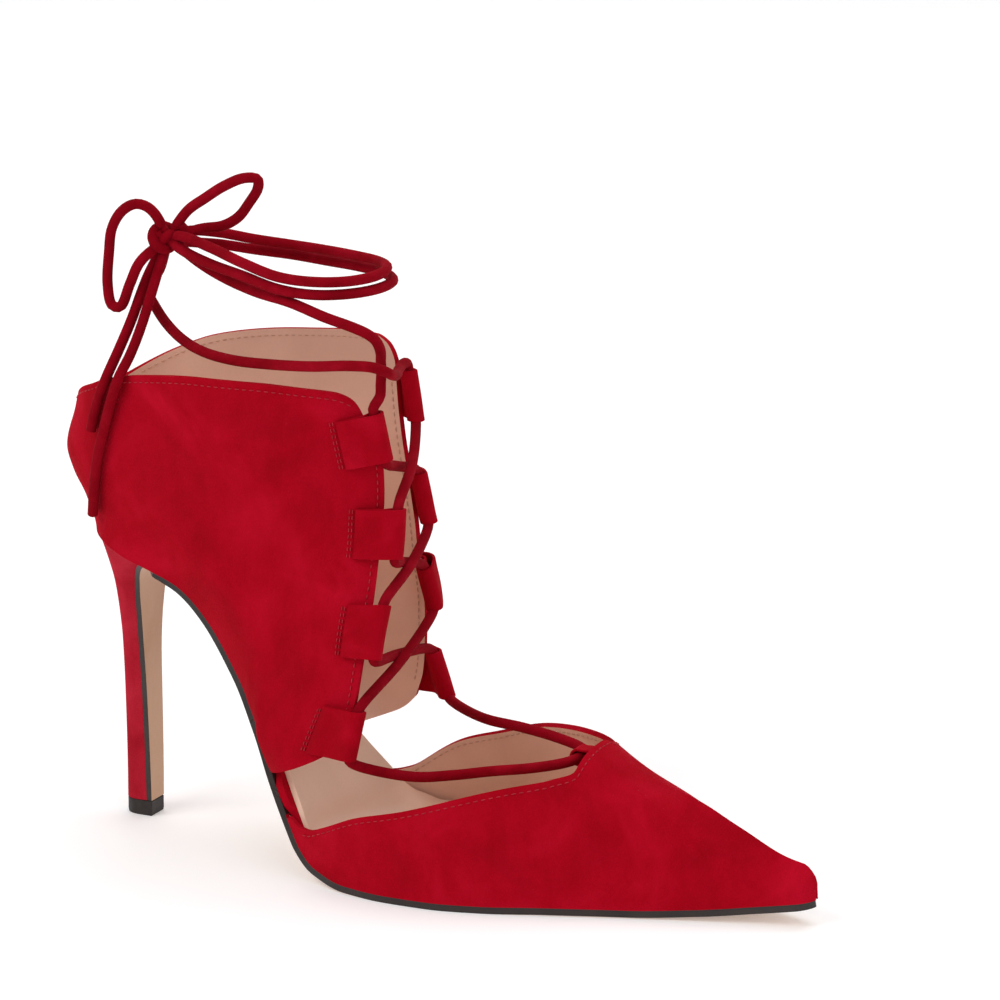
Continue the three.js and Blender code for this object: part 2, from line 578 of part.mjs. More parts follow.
// A section of the heel: round at the back and flat at the breast.
function heelSection(backPoint, frontPoint, half, round, front) {
  const sides = 9;
  const side = Array.from({ length: sides + 1 }, (_, i) => {
    const depth = 1 - Math.cos((Math.PI * i) / (2 * sides));
    const swell = (1 - (1 - clamp(depth / round, 0, 1)) ** 2.3) ** (1 / 2.3);
    const taper = lerp(1, front, clamp((depth - round) / (1 - round), 0, 1));
    return { depth, width: half * swell * taper };
  });
  const at = ({ depth, width }, hand) => new THREE.Vector3(
    lerp(backPoint.x, frontPoint.x, depth),
    hand * width,
    lerp(backPoint.z, frontPoint.z, depth),
  );
  return [...side.map((s) => at(s, -1)), ...side.slice(1).reverse().map((s) => at(s, 1))];
}
function heelGeometry() {
  const numbered = heelRows.map((row, i) => ({ ...row, at: i / (heelRows.length - 1) }));
  const read = (name, at) => column(numbered, 'at', name)(at);
  const sections = Array.from({ length: heelSteps + 1 }, (_, i) => i / heelSteps).map((at) => {
    const backX = lerp(-topliftDepth / 2, -seatBack + 0.2, read('back', at));
    const backZ = lerp(topliftTop, heelHeight - clearance, read('rise', at));
    const front = breastPoint(read('down', at), flapThickness + clearance);
    if (at === 0) front.z = topliftTop;
    const half = lerp(topliftHalf, seatHalf, read('half', at));
    const back = new THREE.Vector3(backX, 0, backZ);
    return heelSection(back, front, half, read('round', at), read('front', at));
  });
  const seat = sections[sections.length - 1];
  seat.forEach((point) => point.setZ(bottomHeight(point.x) - clearance));
  return loft(sections);
}
function topliftGeometry() {
  const back = new THREE.Vector3(-topliftDepth / 2, 0, 0);
  const front = new THREE.Vector3(topliftFront, 0, 0);
  const base = heelSection(back, front, topliftHalf, 0.55, 0.95);
  return loft([base, base.map((point) => point.clone().setZ(topliftHeight))]);
}

// The board shows, full width, only between the quarter and the vamp.
function boardGeometry() {
  const under = upperWall + 0.6;
  const inset = (x) => {
    const shown = clamp((x - leaveSole - 1) / 1.2, 0, 1) * clamp((leaveSole + 6 - x) / 1.2, 0, 1);
    return lerp(under, 0.3, shown);
  };
  return footbed(between(-seatBack + under + 0.4, toeTip - 13), 0, boardThickness, inset);
}
function sockGeometry() {
  const inset = upperWall + 0.9;
  const low = boardThickness + clearance;
  const xs = between(-seatBack + inset + 0.4, toeTip - 16);
  return footbed(xs, low, low + sockThickness, () => inset);
}

function vampPoint(side, turn, share, inset) {
  const rows = side < 0 ? vampOuterRows : vampInnerRows;
  const numbered = rows.map((row, i) => ({ ...row, at: i / (rows.length - 1) }));
  const read = (name) => column(numbered, 'at', name)(turn);
  const foot = read('foot') * soleLength - seatBack;
  const top = read('top') * soleLength - seatBack;
  const x = lerp(foot, top, share);
  const reach = clamp((x - top) / (toeTip - top), 0, 1);
  const drawn = x - inset * 1.6 * reach ** 4;
  const down = lerp(1, read('turn'), share ** 0.9);
  return vampSurface(drawn, side * (turn === 1 ? 0 : down), inset);
}
function vampGeometry() {
  const around = 18;
  const up = 8;
  const turns = Array.from({ length: around + 1 }, (_, i) => 1 - (1 - i / around) ** 1.6);
  const shares = Array.from({ length: up + 1 }, (_, j) => (j / up) ** 1.3);
  const grid = (inset) => {
    const line = (side, turn) => shares.map((share) => vampPoint(side, turn, share, inset));
    const outer = turns.map((turn) => line(-1, turn));
    const inner = turns.slice(0, -1).reverse().map((turn) => line(1, turn));
    return [...outer, ...inner];
  };
  return wall(grid(0), grid(upperWall));
}

// The inside of the quarter lies one wall in from its outside, square to it.
function quarterGeometry() {
  const around = 18;
  const up = 12;
  const spread = (t) => lerp(t, Math.sin((t * Math.PI) / 2), 0.35);
  const turns = Array.from({ length: around + 1 }, (_, i) => spread(i / around));
  const line = (side, turn) => {
    const data = quarterLine(side, turn);
    return Array.from({ length: up + 1 }, (_, j) => quarterPoint(data, j / up));
  };
  const outer = turns.slice(1).reverse().map((turn) => line(-1, turn));
  const inner = turns.map((turn) => line(1, turn));
  const outside = [...outer, ...inner];
  const at = (i, j) => outside[clamp(i, 0, outside.length - 1)][clamp(j, 0, up)];
  const inside = outside.map((row, i) => row.map((point, j) => {
    const along = new THREE.Vector3().subVectors(at(i + 1, j), at(i - 1, j));
    const rise = new THREE.Vector3().subVectors(at(i, j + 1), at(i, j - 1));
    const normal = along.cross(rise).normalize();
    return point.clone().addScaledVector(normal, upperWall);
  }));
  return wall(outside, inside);
}

// A place near a front edge: distance beyond it along the surface, height off it and level. Behind
// the edge it follows the quarter, and beyond it the loop turns in and then runs straight.
function edgePlace(row, beyond, off, z) {
  const { side } = row;
  const edge = ankleAngle(frontEdge[side](z), z);
  const step = 0.02;
  const pace = ankleSurface(side, edge + step, z).distanceTo(ankleSurface(side, edge, z)) / step;
  const angle = edge + Math.min(beyond, 0) / pace;
  const point = ankleSurface(side, angle, z);
  const ahead = ankleSurface(side, angle + step, z).sub(point).normalize();
  const rise = ankleSurface(side, angle, z + 1).sub(point);
  const normal = ahead.clone().cross(rise).normalize().multiplyScalar(side < 0 ? 1 : -1);
  if (beyond > 0) {
    const turn = degToRad(row.turnIn) / bendRun;
    const bent = turn * Math.min(beyond, bendRun);
    const straight = Math.max(beyond - bendRun, 0);
    const sideways = Math.sin(bent) / turn + straight * Math.cos(bent);
    const inwards = (1 - Math.cos(bent)) / turn + straight * Math.sin(bent);
    point.addScaledVector(ahead, sideways).addScaledVector(normal, -inwards);
    const away = normal.clone().multiplyScalar(Math.cos(bent));
    normal.copy(away.addScaledVector(ahead, Math.sin(bent)));
  }
  return point.addScaledVector(normal, off);
}
const foldRadius = laceDiameter / 2 + 0.25 + tabThickness;
const foldOff = 1.5; // how far the fold's middle stands off the quarter
const rootGap = 0.6; // between the faceted loop and the rounder quarter under it
// The loop's section, outside and inside, as distance beyond the edge and height off the quarter.
function tabSection(row, radius, rim) {
  const middle = row.reach - foldRadius;
  const arc = Array.from({ length: 6 }, (_, i) => {
    const angle = lerp(-95, 80, i / 5);
    return [middle + radius * Math.cos(degToRad(angle)), foldOff + radius * Math.sin(degToRad(angle))];
  });
  const rootLow = rootGap + rim;
  const rootHigh = rootGap + 2 * tabThickness - rim;
  const heel = -row.root + rim * 3;
  const under = [[heel, rootLow], [-3.4, rootLow + 0.1], [-1.4, rootLow + 0.1], [0.5, rootLow + 0.1]];
  return [...under, [middle / 2, rim - 0.3], ...arc, [-3.5, rootHigh + 0.7], [heel, rootHigh]];
}
function tabGeometry(row) {
  const levels = 3;
  const outside = [];
  const inside = [];
  for (let i = 0; i <= levels; i += 1) {
    const share = i / levels - 0.5;
    const z = row.level * collarHeight + share * tabHeight;
    const shift = share * row.lean;
    const map = ([beyond, off]) => edgePlace(row, beyond + shift, off, z);
    outside.push(tabSection(row, foldRadius, 0).map(map));
    inside.push(tabSection(row, foldRadius - tabThickness, tabThickness * 0.8).map(map));
  }
  const size = outside[0].length;
  const rows = levels + 1;
  const points = [...outside.flat(), ...inside.flat()];
  const line = (i, layer) => outside[0].map((_, j) => layer * rows * size + i * size + j);
  const triangles = [];
  for (let i = 0; i < levels; i += 1) {
    triangles.push(...strip(line(i, 0), line(i + 1, 0), true), ...strip(line(i + 1, 1), line(i, 1), true));
  }
  triangles.push(...strip(line(0, 1), line(0, 0), true), ...strip(line(levels, 0), line(levels, 1), true));
  return closedGeometry(points, triangles);
}

// The lace between the loops
const tabNamed = Object.fromEntries(tabRows.map((row) => [row.name, row]));
// A place on the middle of a loop's channel, at a share of its height from -0.5 to 0.5, and past it.
function channelPlace(name, share) {
  const row = tabNamed[name];
  const z = row.level * collarHeight + share * tabHeight;
  return edgePlace(row, row.reach - foldRadius + share * row.lean, foldOff, z);
}
const mouthGap = 1.4; // between a loop's end and the lace outside it
function crossingRoute(from, fromShare, to, toShare, bulge) {
  const start = channelPlace(from, fromShare);
  const end = channelPlace(to, toShare);
  const past = 0.5 + mouthGap / tabHeight;
  const mouth = channelPlace(from, Math.sign(fromShare) * past);
  const close = channelPlace(to, Math.sign(toShare) * past);
  const middle = start.clone().add(end).multiplyScalar(0.5);
  middle.x += bulge;
  return [mouth, start.lerp(middle, 0.16), middle, end.lerp(middle, 0.16), close].map((p) => p.toArray());
}
const crossingShare = 0.5 + 3 / tabHeight;
function crossingGeometry(upper) {
  const [outer, inner] = ['outer', 'inner'].map((name) => (at) => `loop_${name}_${at}`);
  const rising = crossingRoute(outer(upper + 1), crossingShare, inner(upper), -crossingShare, 0.6);
  const falling = crossingRoute(inner(upper + 1), crossingShare, outer(upper), -crossingShare, -0.6);
  const [first, second] = [rising, falling].map((route) => solidOf(cord(route, 9)));
  return geometryOf(first.add(second));
}
// The lace from the lowest outer loop through the throat loop to the lowest inner loop.
const throatBend = [151.3, 1, 41.2];
function throatRunGeometry() {
  const past = -0.5 - mouthGap / tabHeight;
  const start = channelPlace('loop_outer_4', past);
  const end = channelPlace('loop_inner_4', past);
  const route = [
    start.toArray(), [start.x + 2.2, start.y + 2.5, start.z - 4.5], [104.5, -17.5, 32.8],
    [115.5, -12.5, 33.5],
    [126, -9.5, 35.4], [138.5, -7, 37.6], [147.8, -5, 39.9], [150.7, -2.2, 40.7], throatBend,
    [150.7, 4, 41.7], [147.4, 6.3, 42.1], [138, 8, 43.2],
    [127, 10.5, 43.4], [112, 15, 42.6], [end.x + 7, end.y - 3.2, end.z - 1.2], end.toArray(),
  ];
  return cord(route, 30);
}
// A strap folded round the lace and sewn under the throat.
const throatLoopHalf = 2.2;
const throatArch = 0.7; // how far the vamp's underside falls from its crest over the strap's width
function throatLoopGeometry() {
  const radius = laceDiameter / 2 + clearance + 0.7;
  const outer = radius + tabThickness;
  const [x, , z] = throatBend;
  const under = (at) => vampSurface(at, 0, upperWall).z - clearance - throatArch;
  const roots = [toeTip * 0.695, toeTip * 0.725];
  const folded = (size, rim) => {
    const arc = Array.from({ length: 8 }, (_, i) => {
      const angle = degToRad(lerp(75, 285, i / 7));
      return [x + size * Math.cos(angle), z + size * Math.sin(angle)];
    });
    const heel = (at) => at - rim * 2 * (at === roots[1]);
    const low = roots.map((at) => [heel(at), under(at) - 2 * tabThickness - 0.2 + rim]);
    const top = roots.map((at) => [heel(at), under(at) - rim]).reverse();
    return [...arc, ...low, ...top];
  };
  const sides = [-throatLoopHalf, 0, throatLoopHalf];
  const points = [];
  const rows = [];
  [folded(outer, 0), folded(radius, tabThickness * 0.8)].forEach((section) => {
    sides.forEach((y) => {
      rows.push(section.map((_, j) => points.length + j));
      points.push(...section.map(([px, pz]) => new THREE.Vector3(px, y + throatBend[1], pz)));
    });
  });
  const [a, b, c, d, e, f] = rows;
  const pairs = [[a, b], [b, c], [c, f], [f, e], [e, d], [d, a]];
  return closedGeometry(points, pairs.flatMap(([first, second]) => strip(first, second, true)));
}

// The ties above the quarter. Each strand runs into the knot, which holds the first stretch of it.
const knotHold = 9.5;
const knotSize = [5.2, 4.6, 5];
function splitAtKnot(route, steps) {
  const path = new THREE.CatmullRomCurve3(route.map((p) => new THREE.Vector3(...p)), false, 'centripetal');
  const middle = new THREE.Vector3(...knotPlace);
  const length = path.getLength();
  const far = (share) => path.getPointAt(share).distanceTo(middle) > knotHold;
  let first = 0;
  while (!far(first)) first += 0.2 / length;
  let last = 1;
  while (!far(last)) last -= 0.2 / length;
  const piece = (from, to, count) => Array.from({ length: count + 1 }, (_, i) => (
    path.getPointAt(lerp(from, to, i / count)).toArray()
  ));
  const gap = (3 * clearance) / length;
  const startsIn = first > 0;
  const endsIn = last < 1;
  const stubs = [];
  if (startsIn) stubs.push(piece(0.5 / length, first, 2));
  if (endsIn) stubs.push(piece(1 - 0.5 / length, last, 2));
  const run = piece(startsIn ? first + gap : 0, endsIn ? last - gap : 1, steps);
  return { run, stubs, steps };
}
const leaving = (name) => channelPlace(name, 0.5 + mouthGap / tabHeight).toArray();
const strands = {
  tie_outer: splitAtKnot([leaving('loop_outer_1'), ...tieOuterRoute], 17),
  tie_inner: splitAtKnot([leaving('loop_inner_1'), ...tieInnerRoute], 22),
  ankle_wrap_upper: splitAtKnot(wrapUpperRoute, 20),
  ankle_wrap_lower: splitAtKnot(wrapLowerRoute, 20),
  bow_loop_down: splitAtKnot(bowDownRoute, 16),
  bow_loop_up: splitAtKnot(bowUpRoute, 16),
  tie_end_long: splitAtKnot(endLongRoute, 12),
  tie_end_short: splitAtKnot(endShortRoute, 8),
};
function knotGeometry() {
  const ball = new THREE.SphereGeometry(1, 10, 7);
  ball.scale(...knotSize);
  ball.translate(...knotPlace);
  ball.deleteAttribute('normal');
  ball.deleteAttribute('uv');
  const stubs = Object.values(strands).flatMap((strand) => strand.stubs);
  const solids = stubs.map((stub) => solidOf(cord(stub, 3)));
  return geometryOf(solids.reduce((sum, solid) => sum.add(solid), solidOf(mergeVertices(ball, 1e-4))));
}

// Finishes
const finish = (color, roughness) => new THREE.MeshStandardMaterial({ color, roughness, metalness: 0 });
const suede = finish(0xa8081c, 0.95);
const lining = finish(0xc3a189, 0.6);
const soleLeather = finish(0xc9a586, 0.5);
const topPiece = finish(0x2d2928, 0.5);
const lace = finish(0xb00c22, 0.9);

const shoe = new THREE.Group();
function add(name, geometry, material) {
  const mesh = new THREE.Mesh(geometry, material);
  mesh.name = name;
  shoe.add(mesh);
}
add('toplift', topliftGeometry(), topPiece);
add('heel', heelGeometry(), suede);
add('outsole', outsoleGeometry(), soleLeather);
add('insole_board', boardGeometry(), suede);
add('insole', sockGeometry(), lining);
add('vamp', vampGeometry(), suede);
add('quarter', quarterGeometry(), suede);
tabRows.forEach((row) => add(row.name, tabGeometry(row), suede));
add('throat_loop', throatLoopGeometry(), suede);
[1, 2, 3].forEach((upper) => add(`lace_crossing_${upper}`, crossingGeometry(upper), lace));
add('lace_throat_run', throatRunGeometry(), lace);
Object.entries(strands).forEach(([name, { run, steps }]) => add(name, cord(run, steps), lace));
add('knot', knotGeometry(), lace);

export default shoe;
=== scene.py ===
"""Looks of a ghillie-laced suede stiletto pump, right foot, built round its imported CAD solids.

Sizes in the tables and functions are in millimetres, in the row frame: +X runs from heel to toe, +Y to
the inner side of the foot, +Z up, from the middle of the heel's top piece on the ground.
"""

import math

import bpy
import numpy as np
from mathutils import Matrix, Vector


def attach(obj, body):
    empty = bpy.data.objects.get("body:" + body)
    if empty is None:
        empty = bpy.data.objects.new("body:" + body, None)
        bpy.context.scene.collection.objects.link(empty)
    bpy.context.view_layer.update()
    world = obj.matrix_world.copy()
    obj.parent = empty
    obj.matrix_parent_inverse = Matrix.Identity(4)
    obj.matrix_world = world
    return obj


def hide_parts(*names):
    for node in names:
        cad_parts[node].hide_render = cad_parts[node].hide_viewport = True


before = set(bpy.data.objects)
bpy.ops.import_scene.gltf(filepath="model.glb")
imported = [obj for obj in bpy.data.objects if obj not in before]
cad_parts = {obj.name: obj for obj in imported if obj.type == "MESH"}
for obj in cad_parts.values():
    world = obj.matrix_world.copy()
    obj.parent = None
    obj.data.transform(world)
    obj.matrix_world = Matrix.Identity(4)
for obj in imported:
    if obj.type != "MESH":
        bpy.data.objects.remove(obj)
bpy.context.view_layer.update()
MM = 0.001

# Camera, at the photo's angle

AZIMUTH = math.radians(27)
ELEVATION = math.radians(16)
DISTANCE = 1600
LENS = 191.5
TARGET = np.array([113.27, 22.3, 109.88])
BACK = np.array([
    math.sin(AZIMUTH) * math.cos(ELEVATION),
    -math.cos(AZIMUTH) * math.cos(ELEVATION),
    math.sin(ELEVATION),
])


def make_camera():
    data = bpy.data.cameras.new("camera")
    data.lens = LENS
    data.sensor_width = 36
    data.clip_start = 0.1
    data.clip_end = 20
    camera = bpy.data.objects.new("camera", data)
    bpy.context.scene.collection.objects.link(camera)
    camera.location = (TARGET + BACK * DISTANCE) * MM
    camera.rotation_mode = "QUATERNION"
    camera.rotation_quaternion = Vector(-BACK).to_track_quat("-Z", "Y")
    bpy.context.scene.camera = camera


make_camera()

# Driving sizes, as in the part's source

SOLE_LENGTH = 238.8
SEAT_BACK = 10.3
HEEL_HEIGHT = 95
TOE_SPRING = 6.2
BALL_HALF = 39.6
SEAT_ROUND = 25
TIP_ROUND = 5
SOLE_THICKNESS = 2
FLAP_THICKNESS = 1.6
BOARD_THICKNESS = 2.6
SOCK_THICKNESS = 1.2
UPPER_WALL = 1.8
GAP = 0.3
COLLAR_HEIGHT = 151.5
ANKLE_HALF = 30
ANKLE_FRONT = 103.5
VAMP_CREST = 47
TOPLIFT_HEIGHT = 4.8
TOPLIFT_DEPTH = 10
TOPLIFT_HALF = 4
LACE = 3.2
TAB_THICKNESS = 0.9
TAB_HEIGHT = 15
BEND_RUN = 3
THROAT_STRAP = 0.8
STITCH_PITCH = 2.3
STITCH_LENGTH = 1.55
EDGE_MARGIN = 2.1
FOLD_OFF = 1.5
FOLD_RADIUS = LACE / 2 + 0.25 + TAB_THICKNESS
LEAVE_SOLE = 60.5
LOWER_RUN = 30
BREAST_TOP = 16.5
TUCK_HEIGHT = 26


def table(names, rows):
    """A short table as columns, by name."""
    return dict(zip(names.split(), np.array(rows, float).T))


BOTTOM = table("along rise spring outer inner", [
    (0, 1.0, 0, 0.56, 0.555), (0.045, 0.967, 0, 0.575, 0.57), (0.08, 0.94, 0, 0.59, 0.575),
    (0.115, 0.909, 0, 0.578, 0.545), (0.151, 0.862, 0, 0.535, 0.47), (0.193, 0.747, 0, 0.495, 0.41),
    (0.235, 0.583, 0, 0.505, 0.405), (0.268, 0.428, 0, 0.565, 0.465), (0.302, 0.272, 0, 0.68, 0.605),
    (0.335, 0.142, 0, 0.785, 0.745), (0.353, 0.076, 0, 0.83, 0.8), (0.377, 0.032, 0, 0.885, 0.86),
    (0.427, 0.003, 0, 0.965, 0.925), (0.482, 0, 0, 1.0, 0.93), (0.544, 0, 0, 0.98, 0.89),
    (0.607, 0, 0, 0.885, 0.8), (0.687, 0, 0.05, 0.7, 0.655), (0.775, 0, 0.05, 0.485, 0.5),
    (0.862, 0, 0.25, 0.3, 0.345), (0.937, 0, 0.6, 0.155, 0.215), (1, 0, 1, 0.075, 0.125),
])
CREST = table("along crest ridge square", [
    (0.288, 2.55, 0.02, 0.75), (0.408, 2.0, 0.03, 0.75), (0.518, 1.5, 0.04, 0.78), (0.608, 1.2, 0.05, 0.8),
    (0.693, 0.94, 0.06, 0.84), (0.763, 0.755, 0.06, 0.86), (0.83, 0.635, 0.06, 0.88), (0.894, 0.46, 0.055, 0.9),
    (0.957, 0.275, 0.05, 0.9), (1, 0.2, 0.045, 0.9),
])
VAMP_EDGE = {
    -1: table("foot top turn", [
        (0.326, 0.328, 1), (0.361, 0.371, 0.968), (0.42, 0.437, 0.9), (0.487, 0.508, 0.82),
        (0.558, 0.57, 0.72), (0.638, 0.625, 0.6), (0.722, 0.676, 0.45), (0.797, 0.698, 0.32),
        (0.872, 0.699, 0.18), (0.947, 0.7, 0.07), (1, 0.7, 0),
    ]),
    1: table("foot top turn", [
        (0.335, 0.337, 1), (0.366, 0.376, 0.96), (0.407, 0.42, 0.9), (0.476, 0.489, 0.81),
        (0.543, 0.554, 0.69), (0.621, 0.613, 0.56), (0.713, 0.665, 0.4), (0.797, 0.694, 0.26),
        (0.872, 0.705, 0.13), (0.947, 0.7, 0.05), (1, 0.7, 0),
    ]),
}
ANKLE = table("level back wide front outer inner", [
    (0.15, 0.21, 0.98, 1.66, 1.23, 1.2), (0.3, 0.05, 0.89, 1.45, 1.1, 1.07), (0.4, -0.05, 0.82, 1.3, 1.03, 1.0),
    (0.5, -0.081, 0.72, 1.18, 0.98, 0.97), (0.57, -0.095, 0.6, 1.1, 0.95, 0.935),
    (0.627, -0.1, 0.5, 1.06, 0.935, 0.93), (0.69, -0.137, 0.44, 1.03, 0.935, 0.935),
    (0.74, -0.179, 0.415, 1.015, 0.95, 0.95), (0.785, -0.198, 0.4, 1.0, 0.965, 0.965),
    (0.87, -0.163, 0.405, 0.98, 1.0, 1.0), (0.94, -0.136, 0.415, 0.965, 1.015, 1.03),
    (1.04, -0.099, 0.43, 0.955, 1.02, 1.05),
])
TOPLINE = table("turn outer inner", [
    (0, 0.881, 0.881), (0.1, 0.899, 0.889), (0.18, 0.922, 0.908), (0.255, 0.941, 0.93), (0.32, 0.961, 0.95),
    (0.44, 0.983, 0.982), (0.59, 0.998, 1.003), (0.73, 1, 1.015), (0.845, 0.995, 1.024), (0.92, 0.989, 1.025),
    (0.965, 0.975, 1.015), (0.99, 0.952, 0.997), (1, 0.93, 0.98),
])
FRONT = table("level outer inner", [
    (0.27, 0.83, 0.77), (0.325, 0.868, 0.8), (0.375, 0.888, 0.812), (0.46, 0.9, 0.82), (0.55, 0.906, 0.825),
    (0.65, 0.905, 0.832), (0.76, 0.91, 0.81), (0.835, 0.906, 0.785), (0.9, 0.866, 0.768), (1.03, 0.855, 0.745),
])
LOWER = table("ahead outer inner", [
    (0, 0.002, 0.002), (0.28, 0.025, 0.024), (0.48, 0.044, 0.043), (0.65, 0.062, 0.075), (0.77, 0.078, 0.115),
    (0.9, 0.108, 0.18), (1, 0.15, 0.24),
])
BREAST = table("ahead rise", [
    (0.652, 1.004), (0.33, 0.985), (0.113, 0.942), (-0.009, 0.873), (-0.052, 0.766), (-0.061, 0.628),
    (-0.035, 0.464), (-0.009, 0.25), (0, 0.1), (0, 0),
])
HEEL = table("rise back half down round front", [
    (0, 0, 0, 1, 0.62, 0.94), (0.11, -0.04, 0.02, 0.9, 0.62, 0.92), (0.28, -0.06, 0.05, 0.72, 0.62, 0.9),
    (0.44, -0.06, 0.085, 0.55, 0.62, 0.88), (0.58, -0.05, 0.14, 0.42, 0.62, 0.87),
    (0.7, 0.06, 0.22, 0.31, 0.64, 0.87), (0.8, 0.24, 0.33, 0.225, 0.68, 0.87),
    (0.875, 0.48, 0.49, 0.165, 0.72, 0.88), (0.93, 0.7, 0.68, 0.115, 0.78, 0.9),
    (0.968, 0.87, 0.85, 0.07, 0.86, 0.94), (1, 1, 0.985, 0.035, 0.92, 0.99),
])
TABS = {
    "outer_1": dict(side=-1, level=0.895, root=0.5, reach=0.42, tilt=13, slant=0, flare=0, turn_in=3),
    "outer_2": dict(side=-1, level=0.706, root=0.5, reach=0.467, tilt=0, slant=0, flare=0, turn_in=3),
    "outer_3": dict(side=-1, level=0.52, root=0.433, reach=0.4, tilt=0, slant=0, flare=0, turn_in=3),
    "outer_4": dict(side=-1, level=0.32, root=0.633, reach=0.4, tilt=0, slant=0.15, flare=0.3, turn_in=3),
    "inner_1": dict(side=1, level=0.917, root=0.6, reach=0.46, tilt=0, slant=-0.25, flare=0, turn_in=17),
    "inner_2": dict(side=1, level=0.718, root=0.6, reach=0.527, tilt=0, slant=-0.25, flare=0, turn_in=38),
    "inner_3": dict(side=1, level=0.53, root=0.6, reach=0.64, tilt=0, slant=0, flare=0, turn_in=66),
    "inner_4": dict(side=1, level=0.325, root=0.667, reach=0.547, tilt=0, slant=-0.25, flare=0, turn_in=35),
}
for tab_shares in TABS.values():
    for share_name in ("root", "reach"):
        tab_shares[share_name] *= TAB_HEIGHT


def column(rows, at, name, at_scale=1.0, scale=1.0, at_start=0.0):
    """A smooth line through a table's column, which never overshoots its rows."""
    xs = at_start + rows[at] * at_scale
    ys = rows[name] * scale
    order = np.argsort(xs)
    xs, ys = xs[order], ys[order]
    slopes = np.diff(ys) / np.diff(xs)
    before, after = slopes[:-1], slopes[1:]
    safe = np.where(before * after > 0, before + after, 1)
    inner = np.where(before * after > 0, 2 * before * after / safe, 0)
    tangents = np.concatenate([slopes[:1], inner, slopes[-1:]])

    def read(x):
        x = np.clip(np.asarray(x, float), xs[0], xs[-1])
        i = np.clip(np.searchsorted(xs, x, side="right") - 1, 0, len(xs) - 2)
        span = xs[i + 1] - xs[i]
        t = (x - xs[i]) / span
        bend = tangents[i] * (1 - t) ** 2 * t - tangents[i + 1] * (1 - t) * t**2
        return ys[i] * (1 - t) ** 2 * (1 + 2 * t) + ys[i + 1] * t**2 * (3 - 2 * t) + span * bend

    return read


def lerp(a, b, t):
    return a + (b - a) * t


def spline(points, count):
    """Points along a centripetal curve through points, evenly spaced by length."""
    p = np.array(points, float)
    p = np.vstack([2 * p[0] - p[1], p, 2 * p[-1] - p[-2]])
    fine = []
    for a, b, c, d in zip(p[:-3], p[1:-2], p[2:-1], p[3:]):
        t0, t1 = 0.0, math.sqrt(np.linalg.norm(b - a)) + 1e-9
        t2 = t1 + math.sqrt(np.linalg.norm(c - b)) + 1e-9
        t3 = t2 + math.sqrt(np.linalg.norm(d - c)) + 1e-9
        t = np.linspace(t1, t2, 40, endpoint=False)[:, None]
        ab = (t1 - t) / (t1 - t0) * a + (t - t0) / (t1 - t0) * b
        bc = (t2 - t) / (t2 - t1) * b + (t - t1) / (t2 - t1) * c
        cd = (t3 - t) / (t3 - t2) * c + (t - t2) / (t3 - t2) * d
        abc = (t2 - t) / (t2 - t0) * ab + (t - t0) / (t2 - t0) * bc
        bcd = (t3 - t) / (t3 - t1) * bc + (t - t1) / (t3 - t1) * cd
        fine.append((t2 - t) / (t2 - t1) * abc + (t - t1) / (t2 - t1) * bcd)
    fine = np.vstack([*fine, p[-2:-1]])
    return resample(fine, count)


def resample(points, count):
    """count points evenly spaced along a polyline."""
    steps = np.linalg.norm(np.diff(points, axis=0), axis=1)
    at = np.concatenate([[0], np.cumsum(steps)])
    wanted = np.linspace(0, at[-1], count)
    return np.stack([np.interp(wanted, at, points[:, k]) for k in range(3)], 1)


def length_of(points):
    return float(np.linalg.norm(np.diff(points, axis=0), axis=1).sum())


# Surfaces of the last, the vamp and the quarter

TREAD_TOP = SOLE_THICKNESS + GAP
TOE_TIP = SOLE_LENGTH - SEAT_BACK


def along_sole(rows, name, scale):
    return column(rows, "along", name, SOLE_LENGTH, scale, -SEAT_BACK)


heel_rise = along_sole(BOTTOM, "rise", HEEL_HEIGHT - TREAD_TOP)
toe_lift = along_sole(BOTTOM, "spring", TOE_SPRING)
outer_edge = along_sole(BOTTOM, "outer", BALL_HALF)
inner_edge = along_sole(BOTTOM, "inner", BALL_HALF)
crest_height = along_sole(CREST, "crest", VAMP_CREST)
crest_place = along_sole(CREST, "ridge", BALL_HALF)
shoulder = along_sole(CREST, "square", 1)


def bottom_height(x):
    return TREAD_TOP + heel_rise(x) + toe_lift(x)


def outline(x, inset=0.0):
    """Middle and half width of the bottom's outline, drawn in by an inset all round."""
    x = np.asarray(x, float)

    def nominal(at):
        return (outer_edge(at) + inner_edge(at)) / 2

    slope = nominal(x + 0.5) - nominal(x - 0.5)
    to_tip = np.clip((TOE_TIP - inset * 1.6 - x) / TIP_ROUND, 0, 1)
    to_back = np.clip((x + SEAT_BACK - inset) / SEAT_ROUND, 0, 1)
    rounding = np.sqrt(1 - (1 - to_tip) ** 2) * (1 - (1 - to_back) ** 2.4) ** (1 / 2.4)
    half = np.maximum(nominal(x) - inset * np.hypot(1, slope), 0.6) * rounding
    return (inner_edge(x) - outer_edge(x)) / 2, half


def bottom_normal(x):
    """The unit normal that points up from the bottom line, as its X and Z."""
    fall = (bottom_height(x + 0.25) - bottom_height(x - 0.25)) / 0.5
    size = np.hypot(1, fall)
    return -fall / size, 1 / size


def vamp_surface(x, turn, inset=0.0):
    middle, half = outline(x, inset)
    ridge = np.clip(crest_place(x), middle - half * 0.6, middle + half * 0.6)
    edge = np.where(turn < 0, middle - half, middle + half)
    angle = np.abs(turn) * math.pi / 2
    power = shoulder(x)
    to_tip = np.clip((TOE_TIP - inset * 1.6 - x) / TIP_ROUND, 0, 1)
    rise = (crest_height(x) - inset) * (1 - (1 - to_tip) ** 2 * 0.45)
    y = ridge + (edge - ridge) * np.sin(angle) ** power
    z = bottom_height(x) + rise * np.maximum(np.cos(angle), 0) ** power
    return np.stack(np.broadcast_arrays(x, y, z), -1)


